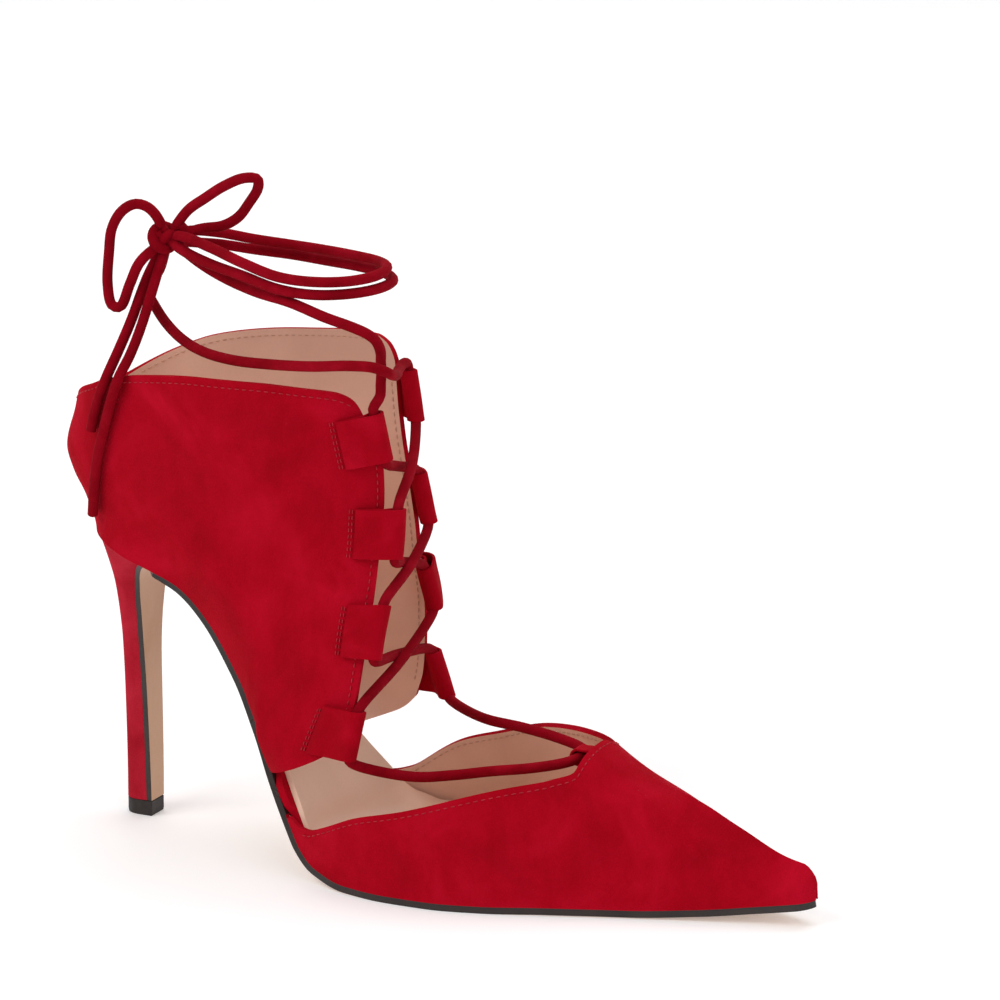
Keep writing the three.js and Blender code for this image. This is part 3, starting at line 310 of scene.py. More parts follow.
def vamp_point(side, turn, share, inset=0.0):
    """A place on the vamp, at turn from its rear corner to the throat and share from sole to edge."""
    rows = dict(VAMP_EDGE[side], at=np.linspace(0, 1, 11))
    foot = column(rows, "at", "foot")(turn) * SOLE_LENGTH - SEAT_BACK
    top = column(rows, "at", "top")(turn) * SOLE_LENGTH - SEAT_BACK
    x = lerp(foot, top, share)
    reach = np.clip((x - top) / (TOE_TIP - top), 0, 1)
    down = lerp(1, column(rows, "at", "turn")(turn), share**0.9)
    return vamp_surface(x - inset * 1.6 * reach**4, side * np.where(turn == 1, 0, down) + 0 * x, inset)


ankle = {
    "back": column(ANKLE, "level", "back", COLLAR_HEIGHT, ANKLE_FRONT),
    "wide": column(ANKLE, "level", "wide", COLLAR_HEIGHT, ANKLE_FRONT),
    "front": column(ANKLE, "level", "front", COLLAR_HEIGHT, ANKLE_FRONT),
    -1: column(ANKLE, "level", "outer", COLLAR_HEIGHT, ANKLE_HALF),
    1: column(ANKLE, "level", "inner", COLLAR_HEIGHT, ANKLE_HALF),
}
SIDE_NAME = {-1: "outer", 1: "inner"}
front_edge = {s: column(FRONT, "level", n, COLLAR_HEIGHT, ANKLE_FRONT) for s, n in SIDE_NAME.items()}
top_edge = {s: column(TOPLINE, "turn", n, 1, COLLAR_HEIGHT) for s, n in SIDE_NAME.items()}
lower_edge = {
    s: column(LOWER, "ahead", n, LOWER_RUN, COLLAR_HEIGHT, LEAVE_SOLE) for s, n in SIDE_NAME.items()
}


def ankle_surface(side, angle, z):
    wide = ankle["wide"](z)
    reach = np.where(angle < math.pi / 2, wide - ankle["back"](z), ankle["front"](z) - wide)
    power = np.where(angle < math.pi / 2, 0.74, 1)
    y = side * ankle[side](z) * np.maximum(np.sin(angle), 0) ** power
    return np.stack(np.broadcast_arrays(wide - reach * np.cos(angle), y, z), -1)


def ankle_angle(x, z):
    wide = ankle["wide"](z)
    reach = np.where(x < wide, wide - ankle["back"](z), ankle["front"](z) - wide)
    return np.arccos(np.clip((wide - x) / reach, -1, 1))


def quarter_grid(side, turns, shares):
    """The quarter's outside, one line of points per turn, from its lower edge to a share of the height."""
    turns = np.asarray(turns, float)

    def on_line(z):
        return ankle_surface(side, turns * ankle_angle(front_edge[side](z), z), z)

    top = top_edge[side](turns)
    low = np.full(len(turns), 0.15 * COLLAR_HEIGHT)
    high = top - 1
    for _ in range(40):
        middle = (low + high) / 2
        x = on_line(middle)[:, 0]
        free = bottom_height(LEAVE_SOLE) + lower_edge[side](x)
        over = middle > np.where(x <= LEAVE_SOLE, bottom_height(x), free)
        high = np.where(over, middle, high)
        low = np.where(over, low, middle)
    start = on_line(low)
    middle, half = outline(start[:, 0])
    ahead = np.clip((start[:, 0] - LEAVE_SOLE) / (0.6 * LOWER_RUN), 0, 1)
    hold = (1 - ahead) ** 2 * (turns > 0.02)
    tuck = (middle + side * half - start[:, 1]) * hold
    grid = []
    for share in shares:
        z = lerp(low, top, share)
        row = on_line(z)
        row[:, 1] += tuck * np.clip(1 - (z - low) / TUCK_HEIGHT, 0, 1) ** 2
        grid.append(row)
    return np.stack(grid, 1)


def edge_place(side, turn_in, edge_x, beyond, off, z):
    """A place near a front edge: distance beyond it, height off the quarter and level."""
    edge = ankle_angle(edge_x, z)
    step = 0.02
    pace = np.linalg.norm(ankle_surface(side, edge + step, z) - ankle_surface(side, edge, z), axis=-1) / step
    back = np.minimum(beyond, 0)
    swing = back / pace
    for _ in range(3):
        gone = np.linalg.norm(ankle_surface(side, edge + swing, z) - ankle_surface(side, edge, z), axis=-1)
        swing = swing * np.where(back < 0, -back / np.maximum(gone, 1e-6), 1)
    angle = edge + swing
    point = ankle_surface(side, angle, z)
    ahead = ankle_surface(side, angle + step, z) - point
    ahead /= np.linalg.norm(ahead, axis=-1, keepdims=True)
    normal = np.cross(ahead, ankle_surface(side, angle, z + 1) - point) * -side
    normal /= np.linalg.norm(normal, axis=-1, keepdims=True)
    turn = math.radians(turn_in) / BEND_RUN
    bent = turn * np.clip(beyond, 0, BEND_RUN)
    straight = np.maximum(beyond - BEND_RUN, 0)
    sideways = (np.sin(bent) / turn + straight * np.cos(bent))[..., None]
    inwards = ((1 - np.cos(bent)) / turn + straight * np.sin(bent))[..., None]
    turned = normal * np.cos(bent)[..., None] + ahead * np.sin(bent)[..., None]
    return point + ahead * sideways - normal * inwards + turned * np.asarray(off, float)[..., None]


def tab_place(tab, beyond, off, share):
    """A place on a loop, whose strap is straight and tilted and whose root may slant on its own."""
    side, tilt = tab["side"], math.radians(tab["tilt"])
    level = tab["level"] * COLLAR_HEIGHT
    middle = (tab["reach"] - tab["root"]) / 2
    share = np.asarray(share, float)
    beyond = np.asarray(beyond, float)
    beyond = np.where(beyond < 0, beyond * (1 - tab["flare"] * share), beyond)
    rise = share * TAB_HEIGHT
    z = level + rise * math.cos(tilt) + (beyond - middle) * math.sin(tilt)
    along = middle + (beyond - middle) * math.cos(tilt) - rise * math.sin(tilt)
    edge_x = front_edge[side](level) + tab["slant"] * (z - level)
    return edge_place(side, tab["turn_in"], edge_x, along, off, z)


def channel_place(name, share):
    """A place on the middle of a loop's channel, at a share of its height from -0.5 to 0.5."""
    tab = TABS[name]
    return tab_place(tab, tab["reach"] - FOLD_RADIUS - 0.2, FOLD_OFF, share)


# Materials


def put(node, name, value):
    if name in node.inputs:
        node.inputs[name].default_value = value


def rgb(r, g, b):
    """A colour given in screen values from 0 to 255."""
    values = [c / 255 for c in (r, g, b)]
    return tuple(c / 12.92 if c <= 0.04045 else ((c + 0.055) / 1.055) ** 2.4 for c in values) + (1.0,)


class Shader:
    """A material whose colour, roughness and bump are put together from noises."""

    def __init__(self, name, roughness, specular=0.5):
        self.material = bpy.data.materials.new(name)
        self.material.use_nodes = True
        self.tree = self.material.node_tree
        self.main = self.tree.nodes["Principled BSDF"]
        put(self.main, "Roughness", roughness)
        put(self.main, "Specular IOR Level", specular)
        self.place = self.node("ShaderNodeTexCoord").outputs["Object"]
        self.height = None

    def node(self, kind, **settings):
        made = self.tree.nodes.new(kind)
        for key, value in settings.items():
            setattr(made, key, value)
        return made

    def link(self, a, b):
        self.tree.links.new(a, b)

    def noise(self, scale, detail=2.0, rough=0.5, stretch=(1, 1, 1), distortion=0.0):
        """scale is in features per metre."""
        mapping = self.node("ShaderNodeMapping")
        mapping.inputs["Scale"].default_value = stretch
        self.link(self.place, mapping.inputs["Vector"])
        made = self.node("ShaderNodeTexNoise")
        self.link(mapping.outputs["Vector"], made.inputs["Vector"])
        put(made, "Scale", scale)
        put(made, "Detail", detail)
        put(made, "Roughness", rough)
        put(made, "Distortion", distortion)
        return made.outputs["Fac"]

    def ramp(self, source, stops):
        made = self.node("ShaderNodeValToRGB")
        elements = made.color_ramp.elements
        while len(elements) < len(stops):
            elements.new(0.5)
        for element, (at, colour) in zip(elements, stops):
            element.position = at
            element.color = colour
        self.link(source, made.inputs["Fac"])
        return made.outputs["Color"]

    def span(self, source, low, high, to_low, to_high):
        made = self.node("ShaderNodeMapRange")
        made.inputs["From Min"].default_value = low
        made.inputs["From Max"].default_value = high
        made.inputs["To Min"].default_value = to_low
        made.inputs["To Max"].default_value = to_high
        self.link(source, made.inputs["Value"])
        return made.outputs["Result"]

    def mix(self, a, b, factor, blend="MIX"):
        made = self.node("ShaderNodeMix", data_type="RGBA", blend_type=blend)
        for value, socket in ((factor, made.inputs[0]), (a, made.inputs[6]), (b, made.inputs[7])):
            if hasattr(value, "is_linked"):
                self.link(value, socket)
            else:
                socket.default_value = value
        return made.outputs[2]

    def bump(self, source, distance, strength=1.0):
        """distance is the full height of the source's range, in metres."""
        made = self.node("ShaderNodeBump")
        made.inputs["Distance"].default_value = distance
        made.inputs["Strength"].default_value = strength
        self.link(source, made.inputs["Height"])
        if self.height is not None:
            self.link(self.height, made.inputs["Normal"])
        self.height = made.outputs["Normal"]

    def finish(self, colour, roughness=None):
        self.link(colour, self.main.inputs["Base Color"])
        if roughness is not None:
            self.link(roughness, self.main.inputs["Roughness"])
        if self.height is not None:
            self.link(self.height, self.main.inputs["Normal"])
        return self.material


def suede(name, dark, middle, light, patch=38.0):
    """Napped suede: brushed patches that catch the light, fine fibres and a soft sheen."""
    s = Shader(name, 0.94, 0.06)
    patches = s.noise(patch, 3, 0.55, distortion=0.6)
    colour = s.ramp(patches, [(0.3, dark), (0.5, middle), (0.72, light)])
    strokes = s.noise(120, 4, 0.65, stretch=(1, 1, 0.45), distortion=0.3)
    colour = s.mix(colour, s.ramp(strokes, [(0.35, dark), (0.65, light)]), 0.22)
    fibres = s.noise(2600, 3, 0.6)
    colour = s.mix(colour, s.ramp(fibres, [(0.3, dark), (0.7, light)]), 0.2)
    s.bump(strokes, 0.00012)
    s.bump(s.noise(900, 2, 0.5), 0.00008)
    s.bump(fibres, 0.00012)
    put(s.main, "Sheen Weight", 0.16)
    put(s.main, "Sheen Roughness", 0.45)
    put(s.main, "Sheen Tint", light)
    return s.finish(colour)


def smooth_leather(name, dark, light, roughness, grain=0.00003, coat=0.0, streak=(1, 1, 1), patch=25):
    """Finished leather: a faint grain, slow colour change and an uneven gloss."""
    s = Shader(name, roughness, 0.35)
    cloud = s.noise(patch, 4, 0.55, stretch=streak, distortion=0.4)
    colour = s.ramp(cloud, [(0.3, dark), (0.7, light)])
    pores = s.noise(1500, 2, 0.5)
    colour = s.mix(colour, s.ramp(pores, [(0.3, dark), (0.6, light)]), 0.15)
    s.bump(s.noise(70, 3, 0.5), 0.0001)
    s.bump(pores, grain)
    put(s.main, "Coat Weight", coat)
    put(s.main, "Coat Roughness", 0.3)
    return s.finish(colour, s.span(cloud, 0.3, 0.7, roughness + 0.08, roughness - 0.08))


SUEDE_DARK = rgb(140, 0, 13)
SUEDE_MID = rgb(162, 0, 21)
SUEDE_LIGHT = rgb(186, 10, 38)
MATERIALS = {
    "suede": suede("suede_red", SUEDE_DARK, SUEDE_MID, SUEDE_LIGHT),
    # The heel cover is the same red suede as the upper; its paler, pinker copy of the colours is painted sheen.
    "heel": suede("suede_heel_painted_sheen", rgb(150, 14, 30), rgb(172, 26, 44), rgb(190, 42, 60), patch=55),
    "tab": suede("suede_loops", rgb(138, 0, 13), rgb(156, 0, 20), rgb(174, 6, 32), patch=60),
    "lace": suede("suede_lace", rgb(112, 0, 11), rgb(132, 1, 18), rgb(154, 8, 30), patch=90),
    "thread": smooth_leather("thread_red", rgb(150, 4, 24), rgb(178, 22, 42), 0.6, patch=400),
    "lining_thread": smooth_leather("thread_beige", rgb(196, 150, 128), rgb(212, 168, 146), 0.6, patch=400),
    "lining": smooth_leather("lining_leather", rgb(222, 178, 156), rgb(238, 196, 174), 0.5),
    "sock": smooth_leather("sock_leather", rgb(220, 180, 156), rgb(238, 202, 178), 0.45, coat=0.05, patch=18),
    "sole": smooth_leather("sole_leather", rgb(188, 148, 118), rgb(204, 166, 136), 0.42, streak=(0.5, 2, 1)),
    "sole_edge": smooth_leather("sole_edge_ink", rgb(24, 16, 14), rgb(42, 30, 26), 0.35, coat=0.2, patch=120),
    "rubber": smooth_leather("top_piece_rubber", rgb(26, 20, 18), rgb(44, 36, 33), 0.5, patch=200),
}

# Mesh building


def facing_in(points, faces):
    """Whether a closed mesh encloses a negative volume, so that its faces look inwards."""
    volume = 0.0
    for face in faces:
        a = points[face[0]]
        for b, c in zip(face[1:-1], face[2:]):
            volume += float(np.dot(a, np.cross(points[b], points[c])))
    return volume < 0


def make_mesh(name, points, faces, materials, face_slots=None, slot=None, replaces=(), closed=True):
    """A piece from points in millimetres. face_slots picks a material for each face."""
    points = np.asarray(points, float)
    if closed and facing_in(points, faces):
        faces = [face[::-1] for face in faces]
    data = bpy.data.meshes.new(name)
    data.from_pydata((points * MM).tolist(), [], [tuple(int(i) for i in f) for f in faces])
    for key in materials:
        data.materials.append(MATERIALS[key])
    if face_slots is not None:
        data.polygons.foreach_set("material_index", np.asarray(face_slots, np.int32))
    data.polygons.foreach_set("use_smooth", np.full(len(data.polygons), True))
    data.update()
    made = bpy.data.objects.new(name, data)
    bpy.context.scene.collection.objects.link(made)
    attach(made, "root")
    if replaces:
        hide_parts(*replaces)
    return made


def grid_faces(rows, columns, closed=False, flip=False, start=0):
    """Quads between the points of a grid stored row by row."""
    faces = []
    for i in range(rows - 1):
        for j in range(columns if closed else columns - 1):
            k = (j + 1) % columns
            a, b = start + i * columns + j, start + i * columns + k
            c, d = start + (i + 1) * columns + k, start + (i + 1) * columns + j
            faces.append((a, d, c, b) if flip else (a, b, c, d))
    return faces


def solidify(obj, thickness, bevel):
    """Gives a strap its thickness and rounds its edges."""
    wall = obj.modifiers.new("wall", "SOLIDIFY")
    wall.thickness = thickness * MM
    wall.offset = 0
    wall.use_even_offset = True
    wall.use_quality_normals = True
    edge = obj.modifiers.new("edge", "BEVEL")
    edge.width = bevel * MM
    edge.segments = 3
    edge.limit_method = "ANGLE"
    edge.angle_limit = math.radians(50)


def bevel_edges(obj, width, segments=3, angle=35):
    edge = obj.modifiers.new("edge", "BEVEL")
    edge.width = width * MM
    edge.segments = segments
    edge.limit_method = "ANGLE"
    edge.angle_limit = math.radians(angle)
    edge.harden_normals = True


def normals_of(grid):
    """Unit normals of a grid of points, from its rows and columns."""
    along = np.gradient(grid, axis=0)
    rise = np.gradient(grid, axis=1)
    normal = np.cross(along, rise)
    return normal / np.maximum(np.linalg.norm(normal, axis=-1, keepdims=True), 1e-9)


def waves(points, seed, length, amount):
    """A slow, irregular swell over a surface, as a height for each point."""
    rng = np.random.default_rng(seed)
    total = np.zeros(points.shape[:-1])
    for _ in range(6):
        direction = rng.normal(size=3)
        direction /= np.linalg.norm(direction)
        wave = length * rng.uniform(0.7, 1.5)
        total += np.sin(points @ direction * 2 * math.pi / wave + rng.uniform(0, 6.3))
    return total / 6 * amount


# Vamp and quarter

VAMP_CENTRE = np.array([140.0, 0, 5])
QUARTER_CENTRE = np.array([45.0, 0, 100])


def vamp_grid(inset=0.0, around=110, up=44):
    turns = 1 - (1 - np.linspace(0, 1, around + 1)) ** 1.6
    shares = np.linspace(0, 1, up + 1) ** 1.15
    outer = np.stack([vamp_point(-1, turns, s, inset) for s in shares], 1)
    inner = np.stack([vamp_point(1, turns[:-1][::-1], s, inset) for s in shares], 1)
    return np.concatenate([outer, inner])


def facing_out(grid, centre):
    """Whether a grid's own normals point away from a centre line."""
    normal = normals_of(grid)
    return float(np.sum(normal * (grid - centre))) > 0


def build_wall(name, outside, inside, out, replaces):
    """A closed wall between two grids of points: suede outside and on the rim, lining inside."""
    rows, columns = outside.shape[:2]
    size = rows * columns
    faces = grid_faces(rows, columns, flip=out) + grid_faces(rows, columns, flip=not out, start=size)
    slots = [0] * (len(faces) // 2) + [1] * (len(faces) // 2)
    rim = list(range(columns))
    rim += [i * columns + columns - 1 for i in range(1, rows)]
    rim += [(rows - 1) * columns + j for j in range(columns - 2, -1, -1)]
    rim += [i * columns for i in range(rows - 2, 0, -1)]
    for a, b in zip(rim, rim[1:] + rim[:1]):
        faces.append((a, b, b + size, a + size) if out else (b, a, a + size, b + size))
        slots.append(0)
    points = np.concatenate([outside.reshape(-1, 3), inside.reshape(-1, 3)])
    piece = make_mesh(name, points, faces, ["suede", "lining"], slots, slot="suede", replaces=replaces)
    bevel_edges(piece, 0.45, 3, 50)


def build_vamp():
    grid = vamp_grid()
    normal = normals_of(grid)
    out = facing_out(grid, VAMP_CENTRE)
    sign = 1 if out else -1
    up = np.linspace(0, 1, grid.shape[1])
    fade = np.minimum(up * 5, 1) * np.minimum((1 - up) * 8, 1)
    swell = normal * sign * (waves(grid, 3, 34, 0.28) * fade[None, :])[..., None]
    build_wall("vamp_shell", grid + swell, vamp_grid(UPPER_WALL - 0.2) + swell, out, ["vamp"])
    return grid + swell


QUARTER_AROUND = 110
QUARTER_UP = 84


def quarter_outside(around=QUARTER_AROUND, up=QUARTER_UP):
    t = np.linspace(0, 1, around + 1)
    turns = lerp(t, np.sin(t * math.pi / 2), 0.35)
    shares = np.linspace(0, 1, up + 1)
    outer = quarter_grid(-1, turns[1:][::-1], shares)
    inner = quarter_grid(1, turns, shares)
    return np.concatenate([outer, inner])


def build_quarter():
    grid = quarter_outside()
    normal = normals_of(grid)
    out = facing_out(grid, QUARTER_CENTRE)
    sign = 1 if out else -1
    up = np.linspace(0, 1, grid.shape[1])
    round_ = np.abs(np.linspace(-1, 1, grid.shape[0]))
    fade = np.minimum(up * 6, 1)[None, :] * np.minimum((1 - round_) * 8, 1)[:, None]
    height = waves(grid, 8, 46, 0.5) + waves(grid, 11, 19, 0.14)
    grid = grid + normal * sign * (height * fade)[..., None]
    inside = grid - normals_of(grid) * sign * (UPPER_WALL - 0.1)
    build_wall("quarter_shell", grid, inside, out, ["quarter"])
    return grid


# Sole, board, sock, heel and top piece


def end_caps(rings, size, across, first_flips):
    """Faces that close both ends of a band whose rings run along its top and back under it."""
    faces = []
    for ring, flip in ((0, first_flips), (rings - 1, not first_flips)):
        base = ring * size
        for j in range(across):
            a, b = base + j, base + j + 1
            c, d = base + size - 2 - j, base + size - 1 - j
            faces.append((a, d, c, b) if flip else (a, b, c, d))
    return faces


def bed(stations, across, low, high, inset_at, name, materials, swell=None, **more):
    """A band along the bottom line with a closed section, rounded at its edges."""
    v = np.linspace(-1, 1, across + 1)
    rings = []
    for x in stations:
        nx, nz = bottom_normal(x)
        middle, half = outline(x, inset_at(x))
        y = middle + v * half
        lift = np.full(across + 1, float(high))
        if swell is not None:
            lift = lift + swell(x, y, v)
        top = np.stack([x + nx * lift, y, bottom_height(x) + nz * lift], 1)
        under = np.stack([x + nx * low + 0 * y, y, bottom_height(x) + nz * low + 0 * y], 1)[::-1]
        rings.append(np.vstack([top, under]))
    size = len(rings[0])
    points = np.vstack(rings)
    faces = grid_faces(len(rings), size, closed=True)
    faces += end_caps(len(rings), size, across, False)
    return make_mesh(name, points, faces, materials, **more)


def dense(start, end, count):
    t = np.linspace(0, 1, count)
    return lerp(start, end, lerp(t, (1 - np.cos(math.pi * t)) / 2, 0.75))


def sock_swell(x, y, v):
    """The sock's cup at its edges and the soft creases that walking and lasting leave in it."""
    cup = 0.7 * np.abs(v) ** 3 * float(np.clip((215 - x) / 60, 0, 1))
    total = cup
    for place, slant, depth, width in ((70, 0.22, 0.5, 2.2), (86, 0.3, 0.5, 2.4), (112, 0.16, 0.3, 3)):
        total = total - depth * np.exp(-(((x - place - slant * (y + 20) - 0.004 * y * y) / width) ** 2))
    return total


def build_bed():
    def under(x):
        shown = np.clip((x - LEAVE_SOLE - 0.4) / 1.2, 0, 1) * np.clip((LEAVE_SOLE + 6.6 - x) / 1.2, 0, 1)
        return lerp(UPPER_WALL + 0.4, 0.3, shown)

    start = -SEAT_BACK + UPPER_WALL + 1.0
    bevel_edges(bed(
        dense(start, TOE_TIP - 13, 170), 6, 0, BOARD_THICKNESS, under, "board", ["suede"],
        slot="suede", replaces=["insole_board"],
    ), 0.7, 4)
    low = BOARD_THICKNESS + 0.05
    bevel_edges(bed(
        dense(start + 1.1, TOE_TIP - 16, 200), 30, low, low + SOCK_THICKNESS, lambda x: UPPER_WALL + 0.9,
        "sock", ["sock"], sock_swell, slot="lining", replaces=["insole"],
    ), 0.4, 3)


TOPLIFT_TOP = TOPLIFT_HEIGHT + GAP
TOPLIFT_FRONT = TOPLIFT_DEPTH / 2
SEAT_HALF = float(outline(BREAST_TOP)[1])


def breast_line():
    """The outsole's showing face from the arch down the breast, and its normals into the heel."""
    under = GAP + FLAP_THICKNESS
    top = bottom_height(BREAST_TOP) - under
    lead = []
    for x in (BREAST_TOP + 5, BREAST_TOP):
        nx, nz = bottom_normal(x)
        lead.append((x - nx * under, 0, bottom_height(x) - nz * under))
    xs = lerp(TOPLIFT_FRONT, BREAST_TOP, BREAST["ahead"])
    zs = lerp(TOPLIFT_TOP, top, BREAST["rise"])
    line = spline(lead + [(x, 0, z) for x, z in zip(xs, zs)], 400)
    tangent = np.gradient(line, axis=0)
    tangent /= np.linalg.norm(tangent, axis=1, keepdims=True)
    return line, np.stack([tangent[:, 2], np.zeros(len(line)), -tangent[:, 0]], 1)


BREAST_FACE, BREAST_INTO = breast_line()


def breast_point(down, depth):
    at = np.asarray(down, float) * (len(BREAST_FACE) - 1)
    places = np.arange(len(BREAST_FACE))
    return np.stack([
        np.interp(at, places, BREAST_FACE[:, k] + BREAST_INTO[:, k] * depth) for k in range(3)
    ], -1)


def breast_half(down):
    width = lerp(TOPLIFT_HALF, SEAT_HALF, HEEL["half"]) * HEEL["front"]
    rows = {"down": np.append(HEEL["down"], -0.02), "half": np.append(width, outline(BREAST_TOP + 6)[1])}
    return column(rows, "down", "half")(down)


def build_outsole():
    across = 20
    v = np.linspace(-1, 1, across + 1)
    rings = []
    for x in dense(BREAST_TOP + 6, TOE_TIP - 0.7, 190)[::-1]:
        nx, nz = bottom_normal(x)
        middle, half = outline(x, 0.5)
        face = GAP + lerp(FLAP_THICKNESS, SOLE_THICKNESS, np.clip((x - BREAST_TOP) / 30, 0, 1))
        ring = []
        for depth, hands in ((face, v), (GAP - 0.15, v[::-1])):
            z = bottom_height(x) - nz * depth
            ring += [(x - nx * depth, middle + h * half, z) for h in hands]
        rings.append(ring)
    for down in np.linspace(0, 1, 75)[1:]:
        half = float(breast_half(down))
        face = breast_point(down, 0)
        back = breast_point(down, FLAP_THICKNESS + 0.15)
        ring = [(face[0], h * half, face[2]) for h in v]
        ring += [(back[0], h * half, back[2]) for h in v[::-1]]
        rings.append(ring)
    size = len(rings[0])
    faces = grid_faces(len(rings), size, closed=True, flip=True)
    kinds = [0 if j < across else 1 for j in range(size)]
    caps = end_caps(len(rings), size, across, True)
    face_slots = kinds * (len(rings) - 1) + [1] * len(caps)
    faces += caps
    sole = make_mesh(
        "sole", np.vstack(rings), faces, ["sole", "sole_edge"], face_slots, slot="sole", replaces=["outsole"]
    )
    bevel_edges(sole, 0.35, 3)


def heel_section(back, front, half, rounding, front_share, sides=22):
    depth = 1 - np.cos(math.pi * np.arange(sides + 1) / (2 * sides))
    swell = (1 - (1 - np.clip(depth / rounding, 0, 1)) ** 2.3) ** (1 / 2.3)
    taper = lerp(1, front_share, np.clip((depth - rounding) / (1 - rounding), 0, 1))
    width = half * swell * taper
    x = lerp(back[0], front[0], depth)
    z = lerp(back[1], front[1], depth)
    left = np.stack([x, -width, z], 1)
    right = np.stack([x, width, z], 1)[1:][::-1]
    return np.vstack([left, right])


def capped(rings):
    """Faces of a closed loft and its two flat ends."""
    size = len(rings[0])
    faces = grid_faces(len(rings), size, closed=True)
    last = (len(rings) - 1) * size
    return faces + [tuple(range(size))[::-1], tuple(last + j for j in range(size))]


def build_heel():
    rows = dict(HEEL, at=np.linspace(0, 1, len(HEEL["rise"])))
    read = {name: column(rows, "at", name) for name in HEEL}
    rings = []
    for at in np.linspace(0, 1, 90):
        back_x = lerp(-TOPLIFT_DEPTH / 2, -SEAT_BACK + 0.2, read["back"](at))
        back_z = lerp(TOPLIFT_TOP - 0.2, HEEL_HEIGHT - GAP, read["rise"](at))
        front = breast_point(read["down"](at), FLAP_THICKNESS + 0.1)
        front_z = TOPLIFT_TOP - 0.2 if at == 0 else front[2]
        half = lerp(TOPLIFT_HALF, SEAT_HALF, read["half"](at))
        back = (back_x, back_z)
        rings.append(heel_section(back, (front[0], front_z), half, read["round"](at), read["front"](at)))
    rings[-1][:, 2] = bottom_height(rings[-1][:, 0]) - 0.1
    # The cover takes the heel's suede, whose pinker tone is painted sheen.
    heel = make_mesh("heel_cover", np.vstack(rings), capped(rings), ["heel"], slot="suede", replaces=["heel"])
    bevel_edges(heel, 0.3, 2, 55)
    base = heel_section((-TOPLIFT_DEPTH / 2, 0), (TOPLIFT_FRONT, 0), TOPLIFT_HALF, 0.55, 0.95)
    rings = [base + np.array([0, 0, z]) for z in np.linspace(0, TOPLIFT_HEIGHT + 0.05, 6)]
    rings[0] = base * np.array([0.97, 0.97, 1])
    piece = make_mesh(
        "top_piece", np.vstack(rings), capped(rings), ["rubber"], slot="top_piece", replaces=["toplift"]
    )
    bevel_edges(piece, 0.25, 3, 55)


# Loops


def tab_line(tab):
    """The folded strap's middle line, as distance beyond the edge and height off the quarter."""
    radius = FOLD_RADIUS - TAB_THICKNESS / 2
    middle = tab["reach"] - FOLD_RADIUS - 0.2
    low, high = TAB_THICKNESS / 2 + 0.05, 1.5 * TAB_THICKNESS + 0.12
    arc = np.radians(np.linspace(-95, 80, 9))
    points = [(-tab["root"] - 0.6, 0.05), (-tab["root"] + 1, low), (-3, low), (0.4, low), (middle / 2, -0.1)]
    points += [(middle + radius * math.cos(a), FOLD_OFF + radius * math.sin(a)) for a in arc]
    points += [(-3.2, high + 0.55), (-tab["root"] + 1.4, high), (-tab["root"] - 0.5, 0.35)]
    return spline([(a, b, 0) for a, b in points], 90)[:, :2]


def build_tab(name, tab):
    line = tab_line(tab)
    levels = np.linspace(-0.5, 0.5, 29)
    rows = []
    for share in levels:
        bow = 1 + 0.012 * math.cos(share * math.pi * 2)
        rows.append(tab_place(tab, line[:, 0], line[:, 1] * bow, np.full(len(line), share)))
    grid = np.stack(rows)
    faces = grid_faces(len(levels), len(line))
    piece = make_mesh(
        f"strap_{name}", grid.reshape(-1, 3), faces, ["tab"], slot="suede",
        replaces=[f"loop_{name}"], closed=False)
    solidify(piece, TAB_THICKNESS, 0.28)


# Stitches


def stitch_mesh(name, runs, thread="thread", radius=0.21, slot="suede"):
    """Thread between pairs of points with a normal each: short rounded stitches that sink at both ends."""
    sides = 6
    around = np.linspace(0, 2 * math.pi, sides, endpoint=False)
    profile = [(0.0, 0.35, -0.12), (0.18, 0.85, 0.06), (0.5, 1.0, 0.14), (0.82, 0.85, 0.06), (1.0, 0.35, -0.12)]
    points, faces = [], []
    for start, end, normal in runs:
        along = end - start
        normal = normal / np.linalg.norm(normal)
        across = np.cross(along, normal)
        across /= max(np.linalg.norm(across), 1e-9)
        base = len(points)
        for at, thick, lift in profile:
            centre = start + along * at + normal * lift
            for angle in around:
                points.append(centre + radius * thick * (across * math.cos(angle) + normal * math.sin(angle)))
        faces += grid_faces(len(profile), sides, closed=True, start=base)
        faces.append(tuple(base + k for k in range(sides))[::-1])
        last = base + (len(profile) - 1) * sides
        faces.append(tuple(last + k for k in range(sides)))
    return make_mesh(name, points, faces, [thread], slot=slot)


def row_of_stitches(line, normals, pitch, length, lift=0.0):
    """Stitches laid end to end along a line on a surface."""
    steps = np.linalg.norm(np.diff(line, axis=0), axis=1)
    at = np.concatenate([[0], np.cumsum(steps)])
    runs = []

    def read(values, s):
        return np.array([np.interp(s, at, values[:, k]) for k in range(3)])

    s = pitch * 0.4
    while s + length < at[-1]:
        normal = read(normals, s + length / 2)
        runs.append((read(line, s) + normal * lift, read(line, s + length) + normal * lift, normal))
        s += pitch
    return runs


def line_below_edge(grid, normal, sign, distance):
    """The line that lies a distance below a grid's upper edge, with its outward normals."""
    points, ups = [], []
    for i in range(len(grid)):
        column_points = grid[i][::-1]
        steps = np.linalg.norm(np.diff(column_points, axis=0), axis=1)
        at = np.concatenate([[0], np.cumsum(steps)])
        points.append([np.interp(distance, at, column_points[:, k]) for k in range(3)])
        ups.append([np.interp(distance, at, normal[i][::-1][:, k]) * sign for k in range(3)])
    return np.array(points), np.array(ups)


